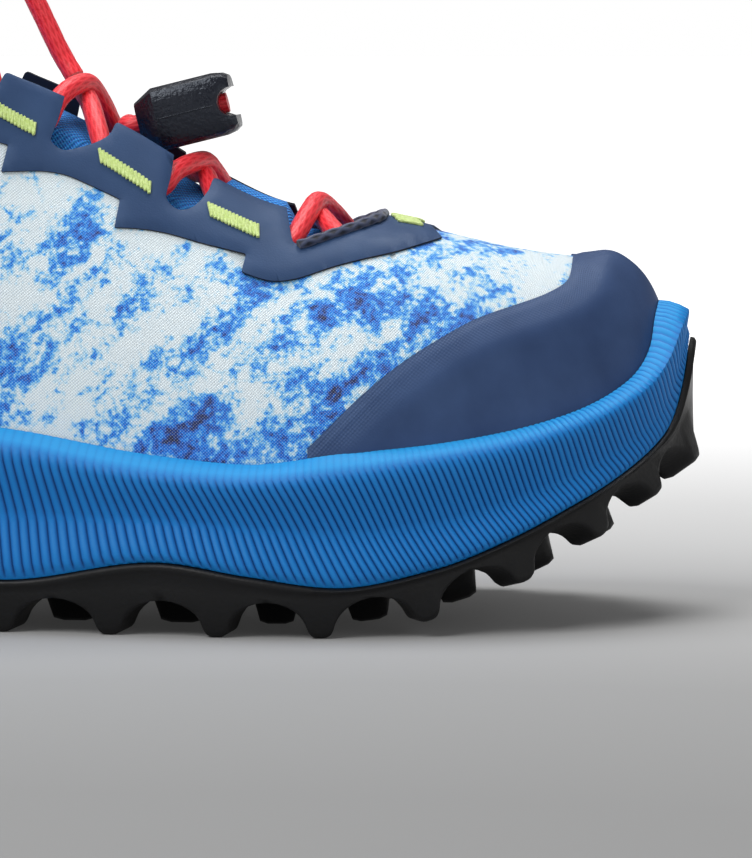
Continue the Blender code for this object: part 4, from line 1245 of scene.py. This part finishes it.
def paint_mesh():
    """Slanting brush dabs and spots in blues on a pale ground, broken up by the weave's threads: painted shade
    in the gaps between them and painted highlights on their tops.
    """
    finish = MESH_PRINT
    place = finish.place()
    dabs = finish.mapped(finish.mapped(place, Rotation=(0.0, PRINT_SLANT, 0.0)), Scale=PRINT_DABS)
    value = PRINT_LEVEL
    for scale, share, detail, is_dab in PRINT_NOISE:
        noise = finish.noise(dabs if is_dab else place, scale, detail, PRINT_ROUGHNESS)
        value = finish.sum("ADD", finish.sum("MULTIPLY", noise, share), value)
    threads = finish.weave(0.56, 0.52)
    level = finish.lifted(threads)
    shaded = finish.mix(1.0, finish.ramp(value, PRINT_STOPS), finish.ramp(level, THREAD_PAINTED_SHADE), "MULTIPLY")
    finish.colour(finish.mix(finish.greys(level, THREAD_PAINTED_HIGHLIGHT), shaded, PAINTED_HIGHLIGHT_COLOUR))
    finish.bump(threads, 0.00012, 0.6)
    finish.grain(900.0, 2.0, 0.0001, 0.3)


paint_mesh()
LINING_NAVY = Finish("lining_navy", (0.02, 0.03, 0.075), 0.9, Sheen_Weight=0.3)
# The weave colours the navy: painted shade in the gaps between its threads, painted light on their tops
lining_threads = LINING_NAVY.weave(1.4, 1.2)
LINING_NAVY.colour(LINING_NAVY.ramp(LINING_NAVY.lifted(lining_threads),
                                    [(0.0, (0.012, 0.018, 0.05)), (1.0, (0.035, 0.05, 0.11))]))
LINING_NAVY.bump(lining_threads, 0.0002, 0.6)


def add_upper():
    behind, ahead = int(UPPER_COLUMNS * THROAT_FRONT), int(UPPER_COLUMNS * (1 - THROAT_FRONT))
    shares = joined_shares(0.0, THROAT_FRONT, 1.0, behind, ahead)

    def foot(side, share):
        return 0.0

    def outside(side, share, w):
        return -crease(side, share, w)

    def inside(side, share, w):
        return -WALL

    finishes = [MESH_PRINT, LINING_NAVY]
    piece = wall_shell("upper_mesh", finishes, shares, UPPER_ROWS, foot, upper_top, outside, inside)
    return dress(piece, "upper_mesh", "upper")


# Toe cap: the part's overlay, with a thin edge strip and a soft ridge where the padding behind it starts
CAP_LINE_COLUMNS = ("share", "z")
CAP_LINE = [
    (0.65, 30.0),
    (0.68, 36.7),
    (0.715, 43.0),
    (0.745, 47.0),
    (0.785, 51.0),
    (0.85, 54.6),
    (0.91, 57.8),
    (0.96, 60.5),
]
CAP_FRONT_X, CAP_CORNER = 79.0, 0.07
CAP_TOP = 0.95
CAP_TUCK = 1.0
CAP_EDGE_OFF, CAP_EDGE = 0.06, 0.2
CAP_COLUMNS, CAP_TOP_COLUMNS, CAP_ROWS = 78, 13, 36
CAP_STRIP, CAP_STRIP_FADE, CAP_LEAST = 5.5, 0.25, 0.01
CAP_RIDGE, CAP_RIDGE_AT, CAP_RIDGE_WIDTH = 0.3, 1.15, 0.4
CAP_STEEP, CAP_STEEP_SHARE = 3, 0.35

FILM_TINT = (0.6, 0.78, 1.0, 1.0)
FILM_NAVY = Finish("film_navy", (0.035, 0.05, 0.11), 0.5, Specular_IOR_Level=0.28, Specular_Tint=FILM_TINT)
film_cloud = FILM_NAVY.noise(FILM_NAVY.place(), 120.0, 3.0)
FILM_NAVY.colour(FILM_NAVY.ramp(film_cloud, [(0.3, (0.029, 0.059, 0.140)), (0.7, (0.038, 0.075, 0.170))]))
FILM_NAVY.uneven_gloss(200.0, 3.0, 0.42, 0.56)
FILM_NAVY.grain(3200.0, 2.0, 0.0001, 0.35)

CAP_NAVY = Finish("cap_navy", (0.035, 0.05, 0.11), 0.46, Specular_IOR_Level=0.28, Specular_Tint=FILM_TINT)


def paint_cap():
    """The eyestay's navy film, with the mesh below it printing through near its edge, where its weave is
    painted as light and shade and the film is a little lighter.
    """
    finish = CAP_NAVY
    strip = finish.cloth("Z")
    # Near the edge the weave's relief is painted as light and shade, and the strip makes the colour a little
    # lighter there
    threads = finish.sum("MULTIPLY", finish.weave(0.78, 0.72), strip)
    tone = finish.sum("ADD", finish.noise(finish.place(), 120.0, 3.0), finish.sum("MULTIPLY", threads, 0.18))
    tone = finish.sum("ADD", tone, finish.sum("MULTIPLY", strip, 0.08))
    finish.colour(finish.ramp(tone, [(0.25, (0.029, 0.055, 0.138)), (0.75, (0.045, 0.082, 0.190))]))
    finish.bump(threads, 0.00008, 0.35)
    finish.grain(3200.0, 2.0, 0.0001, 0.35)


paint_cap()


def add_toe_cap():
    cap_line = table_lines(CAP_LINE, CAP_LINE_COLUMNS)["z"]
    shares = joined_shares(CAP_LINE[0][0], CAP_TOP, 1.0, CAP_COLUMNS, CAP_TOP_COLUMNS)

    def cap_edge(side, share):
        """Top of the film: the edge line, which turns up round a soft corner to go straight over the vamp."""
        if share >= CAP_TOP:
            return 1.0
        height, front = w_at_height(side, share, cap_line(share)), w_at_x(side, share, CAP_FRONT_X)
        return min(0.5 * (height + front + math.hypot(height - front, CAP_CORNER)), 1.0)

    below = [share for share in shares if share < CAP_TOP]
    edge = np.array([wall_point(side, share, cap_edge(side, share)) for side in SIDES for share in below])

    def low(side, share):
        return w_at_height(side, share, side_line["lip"](station(side, share)) - CAP_TUCK)

    def high(side, share):
        return max(cap_edge(side, share), low(side, share) + CAP_LEAST)

    def from_edge(side, share, w):
        """Way in from the film's edge, in widths of its strip."""
        return float(np.min(np.linalg.norm(edge - wall_point(side, share, w), axis=1))) / CAP_STRIP

    def outside(side, share, w):
        away = from_edge(side, share, w)
        ridge = CAP_RIDGE * math.exp(-((away - CAP_RIDGE_AT) / CAP_RIDGE_WIDTH) ** 2)
        full = GAP + OVERLAY - CAP_EDGE_OFF - CAP_EDGE
        rise = CAP_STEEP_SHARE * smooth_step(CAP_STEEP * away) + (1 - CAP_STEEP_SHARE) * smooth_step(away)
        return CAP_EDGE_OFF + CAP_EDGE + full * rise + ridge

    def inside(side, share, w):
        return CAP_EDGE_OFF

    def strip(side, share, w):
        return 1.0 - smooth_step(from_edge(side, share, w) - CAP_STRIP_FADE)

    piece = wall_shell("toe_cap_film", [CAP_NAVY], shares, CAP_ROWS, low, high, outside, inside, strip)
    return dress(piece, "overlay_film", "toe_cap")


add_upper()
add_toe_cap()


# Eyestay: the part's overlay round the throat, as a thin film with round corners.
# Laid flat, x runs along the tab line and depth below it
EYESTAY_FRONT_X, EYESTAY_BACK_X = 54.5, -30.5
THROAT_FRONT_X = 46.0
FILM_OFF, FILM_TOP, FILM_EDGE, FILM_ROUNDING = 0.08, 0.8, 0.45, 1.0
EYESTAY_STEP, EYESTAY_CELL, EYESTAY_JOIN = 0.35, 1.2, 0.0001
EYESTAY_CELLS_FROM, EYESTAY_CELLS_TO = 0.6, 19.0
CORNER_ROUNDING, STEP_ROUNDING = 0.55, 0.9
ON_RIDGE, AT_TOP = 0.3, 0.01
NOTCH_DEPTH, NOTCH_BEND = 9.2, 0.45
TIP_SLANT, TIP_SHARE = 1.6, 0.3
NOTCH_START, NOTCH_START_SHARE, NOTCH_LOWEST, NOTCH_END_SHARE = 1.4, 0.86, 0.4, 0.92
# Columns: x of the front, the notch's reach under it, x of the tip, then x and depth of the lower edge
# at its bow, at the low end of its step and at the high end
TABS = [
    (30.9, 0.6, 19.0, 25.5, 13.2, 21.3, 13.8, 22.5, 10.4),
    (12.0, 2.2, 2.8, 11.0, 13.6, 1.0, 18.0, 2.2, 12.8),
    (-6.1, 2.6, -15.5, -5.5, 12.9, -16.8, 17.0, -15.6, 12.0),
]
LAST_TAB_X, LAST_TAB_UNDER, LAST_TAB_DEPTH = -24.0, 1.6, 15.0
# Columns: x, depth
THROAT_EDGE = [
    (EYESTAY_FRONT_X, 0.0),
    (THROAT_FRONT_X, 0.0),
    (41.0, 2.0),
    (36.0, 4.0),
    (32.0, 5.8),
    (30.7, 5.6),
]
FRONT_LOWER_EDGE = [
    (EYESTAY_FRONT_X, 1.4),
    (50.5, 3.2),
    (THROAT_FRONT_X, 5.2),
    (41.0, 7.0),
    (36.0, 8.8),
    (30.1, 11.4),
]


def eyestay_outline():
    """The flat eyestay's loop of points: back along its upper edge, and forward again along its lower one."""
    def front_edge(front, under):
        """A tab's front, from the bend in the notch up to the corner."""
        return [(front - NOTCH_BEND * under, NOTCH_BEND * NOTCH_DEPTH), (front, 0.0)]

    upper, lower = list(THROAT_EDGE), list(FRONT_LOWER_EDGE)
    fronts = [(row[0], row[1]) for row in TABS[1:]] + [(LAST_TAB_X, LAST_TAB_UNDER)]
    for tab, (next_front, next_under) in zip(TABS, fronts):
        front, under, tip, bow_x, bow_depth, low_x, low_depth, high_x, high_depth = tab
        upper += front_edge(front, under)
        upper += [
            (tip, 0.0),
            (tip - TIP_SLANT, TIP_SHARE * NOTCH_DEPTH),
            (next_front + NOTCH_START, NOTCH_START_SHARE * NOTCH_DEPTH),
            (next_front - NOTCH_LOWEST * next_under, NOTCH_DEPTH),
            (next_front - next_under, NOTCH_END_SHARE * NOTCH_DEPTH),
        ]
        lower += [(bow_x, bow_depth), (low_x, low_depth), (high_x, high_depth)]
    upper += front_edge(LAST_TAB_X, LAST_TAB_UNDER) + [(EYESTAY_BACK_X, 0.0)]
    lower.append((EYESTAY_BACK_X, LAST_TAB_DEPTH))
    edges = [even_path([(x, depth, 0.0) for x, depth in edge], EYESTAY_STEP, rounding)
             for edge, rounding in ((upper, CORNER_ROUNDING), (lower, STEP_ROUNDING))]
    loop = np.vstack([edges[0], edges[1][::-1]])[:, :2]
    on_ridge = (loop[:, 0] >= THROAT_FRONT_X) & (loop[:, 1] < ON_RIDGE)
    loop[on_ridge, 1] = 0.0
    return np.maximum(loop, [EYESTAY_BACK_X, 0.0])


def on_eyestay(side, x, depth, offset):
    """A point off the eyestay's face: x along the tab line, depth below it."""
    share = share_at_top(x)
    z = top_line["z"](share)
    w = w_at_height(side, share, z - depth) if depth > AT_TOP else 1.0
    return off_wall(side, share, w, offset)


# Painted shade: the film's rim and inside are near black, much darker than its face, for the thin shadow line
# along its edge
RIM_PAINTED_SHADE = Finish("rim_painted_shade", (0.006, 0.008, 0.016), 0.7)


def add_eyestay():
    outline = eyestay_outline()
    grid = [(x, depth) for x in np.arange(EYESTAY_BACK_X, EYESTAY_FRONT_X, EYESTAY_CELL)
            for depth in np.arange(EYESTAY_CELLS_FROM, EYESTAY_CELLS_TO, EYESTAY_CELL)]
    flat = [Vector(p) for p in (*outline.tolist(), *grid)]
    corners, _, cells, *_ = delaunay_2d_cdt(flat, [], [list(range(len(outline)))], 1, EYESTAY_JOIN)
    used = sorted({i for cell in cells for i in cell})
    at = {old: new for new, old in enumerate(used)}
    cells = [tuple(at[i] for i in cell) for cell in cells]
    rim = outline[(outline[:, 0] < THROAT_FRONT_X) | (outline[:, 1] > 0.0)]
    patches = []
    for side in SIDES:
        outer, inner, cloth = [], [], []
        for i in used:
            x, depth = (float(v) for v in corners[i])
            from_rim = float(np.min(np.linalg.norm(rim - [x, depth], axis=1)))
            top = FILM_EDGE + (FILM_TOP - FILM_EDGE) * math.sqrt(smooth_step(from_rim / FILM_ROUNDING))
            outer.append(on_eyestay(side, x, depth, top))
            inner.append(on_eyestay(side, x, depth, FILM_OFF))
            cloth.append((x, depth, 0.0))
        patches.append((outer, inner, cloth, cells))
    return dress(joined_shell("eyestay_film", patches, [FILM_NAVY, RIM_PAINTED_SHADE]), "overlay_film", "eyestay")


# Bartacks: each is a zigzag of lime thread on the eyestay
THREAD_RADIUS = 0.29
THREAD_OFF = FILM_TOP + THREAD_RADIUS * 0.7
TACK_HALF_WIDTH = 1.05
TACK_STITCH, TACK_STEP, TACK_ROUNDING = 0.56, 0.22, 0.16
# Columns: x and depth of the start, x and depth of the end
TACKS = [
    (25.0, 6.0, 16.9, 6.4),
    (7.2, 8.6, -0.8, 7.4),
    (-11.2, 7.8, -19.4, 6.8),
]
# The front tack lies across the vamp between two x
FRONT_TACK = (51.8, 47.8)
FRONT_TACK_STITCHES, FRONT_TACK_HALF = 14, 3.6
FRONT_TACK_BEND, FRONT_TACK_ROUNDING = 0.055, 0.1

THREAD_LIME = Finish("thread_lime", (0.50, 0.66, 0.10), 0.6, Sheen_Weight=0.4, Sheen_Roughness=0.4)
lime_fleck = THREAD_LIME.noise(THREAD_LIME.place(), 2500.0, 3.0)
THREAD_LIME.colour(THREAD_LIME.ramp(lime_fleck, [(0.3, (0.50, 0.66, 0.17)), (0.7, (0.70, 0.84, 0.36))]))
THREAD_LIME.bump(lime_fleck, 0.0001, 0.5)


def thin_tube(paths, radius, sides=6):
    """Points and faces of plain closed tubes along several paths."""
    points, faces = [], []
    for path in paths:
        first = len(points)
        for centre, (side, other) in zip(path, tube_frame(np.array(path))):
            for k in range(sides):
                turn = 2 * math.pi * k / sides
                points.append(centre + radius * (math.cos(turn) * side + math.sin(turn) * other))
        faces += tube_faces(first, len(path), sides)
    return points, faces


def tack_path(side, start_x, start_depth, end_x, end_depth):
    """A close zigzag across the line from start to end, lying on the eyestay."""
    length = math.hypot(end_x - start_x, end_depth - start_depth)
    count = int(length / TACK_STITCH)
    path = []
    for i in range(2 * count + 1):
        t = i / (2 * count)
        reach = TACK_HALF_WIDTH if i % 2 else -TACK_HALF_WIDTH
        x, depth = start_x + t * (end_x - start_x), start_depth + t * (end_depth - start_depth) + reach
        path.append(on_eyestay(side, x, depth, THREAD_OFF))
    return even_path(path, TACK_STEP, TACK_ROUNDING)


def add_tacks():
    paths = [tack_path(side, *row) for side in SIDES for row in TACKS]
    front = []
    start_x, end_x = FRONT_TACK
    turns = 2 * FRONT_TACK_STITCHES
    for i in range(turns + 1):
        across = -FRONT_TACK_HALF + 2 * FRONT_TACK_HALF * i / turns
        x = start_x if i % 2 else end_x
        side = LATERAL if across < 0 else MEDIAL
        drop = FRONT_TACK_BEND * across * across
        front.append(on_eyestay(side, x, drop, THREAD_OFF))
    paths.append(even_path(front, TACK_STEP, FRONT_TACK_ROUNDING))
    points, faces = thin_tube(paths, THREAD_RADIUS)
    return dress(add_mesh("bartacks", points, faces, [THREAD_LIME], sharp=60.0), "overlay_film")


# Binding: a navy cord sewn round the front of the throat. A braid is given as strands, pitch and relief
BINDING_RADIUS, BINDING_LIFT = 0.85, 0.3
BINDING_STEP, BINDING_ROUNDING = 0.25, 0.8
BINDING_BRAID = (3, 3.2, 0.22)
# Columns: x, depth
BINDING_EDGE = [(31.4, 6.3), (36.0, 4.4), (41.0, 2.4), (45.5, 0.5)]
CORD_NAVY = Finish("cord_navy", (0.02, 0.028, 0.06), 0.6, Sheen_Weight=0.3)
# Painted shade darkens the grooves between the braid's strands, and painted light lightens their tops
cord_braid = CORD_NAVY.mark("braid").outputs["Fac"]
CORD_NAVY.colour(CORD_NAVY.ramp(cord_braid, [(0.3, (0.006, 0.008, 0.02)), (0.9, (0.05, 0.065, 0.13))]))


def add_binding():
    path = []
    for side in SIDES:
        half = [on_eyestay(side, x, depth, FILM_TOP + BINDING_LIFT) for x, depth in BINDING_EDGE]
        path += half if side == LATERAL else half[::-1]
    path = even_path(path, BINDING_STEP, BINDING_ROUNDING)
    piece = braided_tube("throat_binding", path, BINDING_RADIUS, CORD_NAVY, *BINDING_BRAID)
    return dress(piece, "overlay_film")


# Tongue: a padded knit strip with rounded edges
TONGUE_STEPS, TONGUE_RISE_STEPS, TONGUE_PLACES = 80, 22, 41
TONGUE_EDGE = 1.1
TONGUE_SWELL, TONGUE_SWELL_RAMP = 3.9, 2.4
TONGUE_SWELL_FROM, TONGUE_SWELL_TO = 18.6, 32.6
TONGUE_SWELL_ACROSS = (0.8, 1.0, 0.8)
# Knit colour from the weave: painted shade in the gaps between threads, painted light on their tops
KNIT_STOPS = [(0.1, (0.005, 0.11, 0.50)), (0.5, (0.010, 0.26, 0.86)), (1.0, (0.04, 0.42, 0.95))]
KNIT_BLUE = Finish("knit_blue", (0.015, 0.15, 0.6), 0.8, Sheen_Weight=0.08, Sheen_Roughness=0.5)
knit_threads = KNIT_BLUE.weave(1.1, 0.9)
KNIT_BLUE.colour(KNIT_BLUE.ramp(KNIT_BLUE.lifted(knit_threads), KNIT_STOPS))
KNIT_BLUE.bump(knit_threads, 0.0003, 0.7)
KNIT_BLUE.grain(1600.0, 3.0, 0.0002, 0.4)


def add_tongue():
    layers = []
    for sink in (0.0, TONGUE):
        xs = np.linspace(TONGUE_FRONT_X, TONGUE_BACK_X, TONGUE_STEPS)
        rows = []
        for x in xs:
            section = tongue_section(float(x), sink)
            rise = smooth_step((x - TONGUE_SWELL_FROM) / TONGUE_SWELL_RAMP)
            swell = TONGUE_SWELL * rise * smooth_step((TONGUE_SWELL_TO - x) / TONGUE_SWELL_RAMP)
            for place, part in enumerate(TONGUE_SWELL_ACROSS, CROWN_OF_SECTION - 1):
                section[place] = section[place] + [0.0, 0.0, part * swell]
            rows.append(spread(section, TONGUE_PLACES))
        last = rows[-1]
        for rise in np.linspace(0, TONGUE_RISE, TONGUE_RISE_STEPS)[1:]:
            wider = np.array([1.0, 1.0 + TONGUE_RISE_WIDER * rise, 1.0])
            rows.append([point * wider + rise * TONGUE_RISE_DIRECTION for point in last])
        layers.append(rows)
    along = 0.0
    cloth = []
    for r, row in enumerate(layers[0]):
        if r:
            along += float(np.linalg.norm(row[len(row) // 2] - layers[0][r - 1][len(row) // 2]))
        cloth.append([(float(d), along, 0.0) for d in lengths_along(row)])
    piece = shell("tongue_knit", [(*layers, cloth)], [KNIT_BLUE], sharp=70.0)
    soften(piece, TONGUE_EDGE, 4, 60.0)
    return dress(piece, "tongue_knit", "tongue")


# Insole: a sock liner with a rounded edge and a shallow dish
INSOLE = 3.0
INSOLE_COLUMNS = 90
# Columns: inset, lift
INSOLE_RINGS = [(0.5, 0.0), (0.0, 0.5), (0.0, 2.3), (0.25, 2.75), (0.9, INSOLE), (5.0, 2.85), (9.0, 2.6)]


def add_insole():
    rings, cloth = [], []
    for inset, lift in INSOLE_RINGS:
        def edge(side, share, inset=inset, lift=lift):
            x, y, _ = off_wall(side, share, 0.0, -WALL - GAP - inset)
            return (x, y, cup_height(float(x)) + GAP + lift)

        rings.append(ring(edge, INSOLE_COLUMNS))
        cloth += [(p[0], p[1], 0.0) for p in rings[-1]]
    points = [p for loop in rings for p in loop]
    faces = lofted_rings(rings, INSOLE_COLUMNS)
    piece = add_mesh("insole_liner", points, faces, [LINING_NAVY], {"cloth": cloth}, sharp=70.0)
    return dress(piece, "insole_fabric", "insole")


# Collar: a padded roll inside the opening and a binding over its edge
COLLAR_LOW_W, COLLAR_HIGH_W = 0.66, 0.995
COLLAR_SWELL, COLLAR_SWELL_POWER = 3.0, 0.7
COLLAR_OUTSIDE, COLLAR_INSIDE = 0.15, 0.45
COLLAR_COLUMNS, COLLAR_ROWS = 60, 14
COLLAR_END, COLLAR_FADE = 0.375, 0.08
EDGE_RADIUS, EDGE_STEP, EDGE_ROUNDING = 0.5 * WALL + 0.35, 0.4, 1.0
EDGE_BRAID = (6, 2.6, 0.12)


def add_collar():
    shares = np.linspace(0.0, COLLAR_END, COLLAR_COLUMNS).tolist()

    def low(side, share):
        return COLLAR_LOW_W

    def high(side, share):
        return COLLAR_HIGH_W

    def outside(side, share, w):
        return -WALL - COLLAR_OUTSIDE

    def inside(side, share, w):
        """The padding swells between its edges and thins out towards its end."""
        t = min(max((w - COLLAR_LOW_W) / (1 - COLLAR_LOW_W), 0.0), 1.0)
        swell = COLLAR_SWELL * math.sin(math.pi * t) ** COLLAR_SWELL_POWER
        return -WALL - COLLAR_INSIDE - swell * smooth_step((COLLAR_END - share) / COLLAR_FADE)

    piece = wall_shell("collar_padding", [LINING_NAVY], shares, COLLAR_ROWS, low, high, outside, inside,
                       sharp=80.0)
    dress(piece, "insole_fabric")
    to_heel = np.linspace(THROAT_BACK, 0.0, COLLAR_COLUMNS).tolist()
    from_heel = np.linspace(0.0, THROAT_BACK, COLLAR_COLUMNS).tolist()
    path = [off_wall(LATERAL, share, 1.0, -0.5 * WALL) for share in to_heel]
    path += [off_wall(MEDIAL, share, 1.0, -0.5 * WALL) for share in from_heel[1:]]
    path = even_path(path, EDGE_STEP, EDGE_ROUNDING)
    binding = braided_tube("collar_binding", path, EDGE_RADIUS, CORD_NAVY, *EDGE_BRAID)
    dress(binding, "overlay_film")


# Cord lock: the part's block with softened edges, a grained skin and a parting line along its sides
PLASTIC_BLACK = Finish("plastic_black", (0.006, 0.0068, 0.013), 0.42, Specular_Tint=(0.8, 0.88, 1.0, 1.0))
PLASTIC_BLACK.uneven_gloss(300.0, 3.0, 0.24, 0.38)
PLASTIC_BLACK.grain(1500.0, 2.0, 0.0003, 0.6)
LOCK_SIDE, LOCK_EDGE = 5.4, 0.3
LOCK_JOIN, LOCK_FLAT = 0.000002, math.radians(1.0)
PARTING_RADIUS, PARTING_START, PARTING_END, PARTING_POINTS = 0.14, -4.2, 5.4, 12


def add_lock():
    shape = bmesh.new()
    shape.from_mesh(NODES["cord_lock"].data)
    bmesh.ops.remove_doubles(shape, verts=shape.verts, dist=LOCK_JOIN)
    bmesh.ops.dissolve_limit(shape, angle_limit=LOCK_FLAT, verts=shape.verts, edges=shape.edges)
    mesh = bpy.data.meshes.new("cord_lock_body")
    shape.to_mesh(mesh)
    shape.free()
    mesh.materials.clear()
    mesh.materials.append(PLASTIC_BLACK.material)
    block = on_shoe("cord_lock_body", mesh, 50.0)
    soften(block, LOCK_EDGE, 3, 30.0)
    dress(block, "lock_plastic", "cord_lock")
    bore = np.linspace(PARTING_START, PARTING_END, PARTING_POINTS)
    lines = [[on_lock(along, side * LOCK_SIDE, 0.0) for along in bore] for side in SIDES]
    points, faces = thin_tube(lines, PARTING_RADIUS)
    line = dress(add_mesh("cord_lock_line", points, faces, [PLASTIC_BLACK]), "lock_plastic")
    return block, line


def path_length(path):
    return float(lengths_along(path)[-1])


def declare_cords(lock_pieces):
    """Works out the free cords' real lengths, from the throat to the throat, and keeps none of them. The lock
    sits on the tail; the lock's pieces are not used.
    """
    for name, (piece, path) in CORDS.items():
        metres = path * MM
        path_length(metres)


add_eyestay()
add_tacks()
add_binding()
add_tongue()
add_insole()
add_collar()
declare_cords(add_lock())
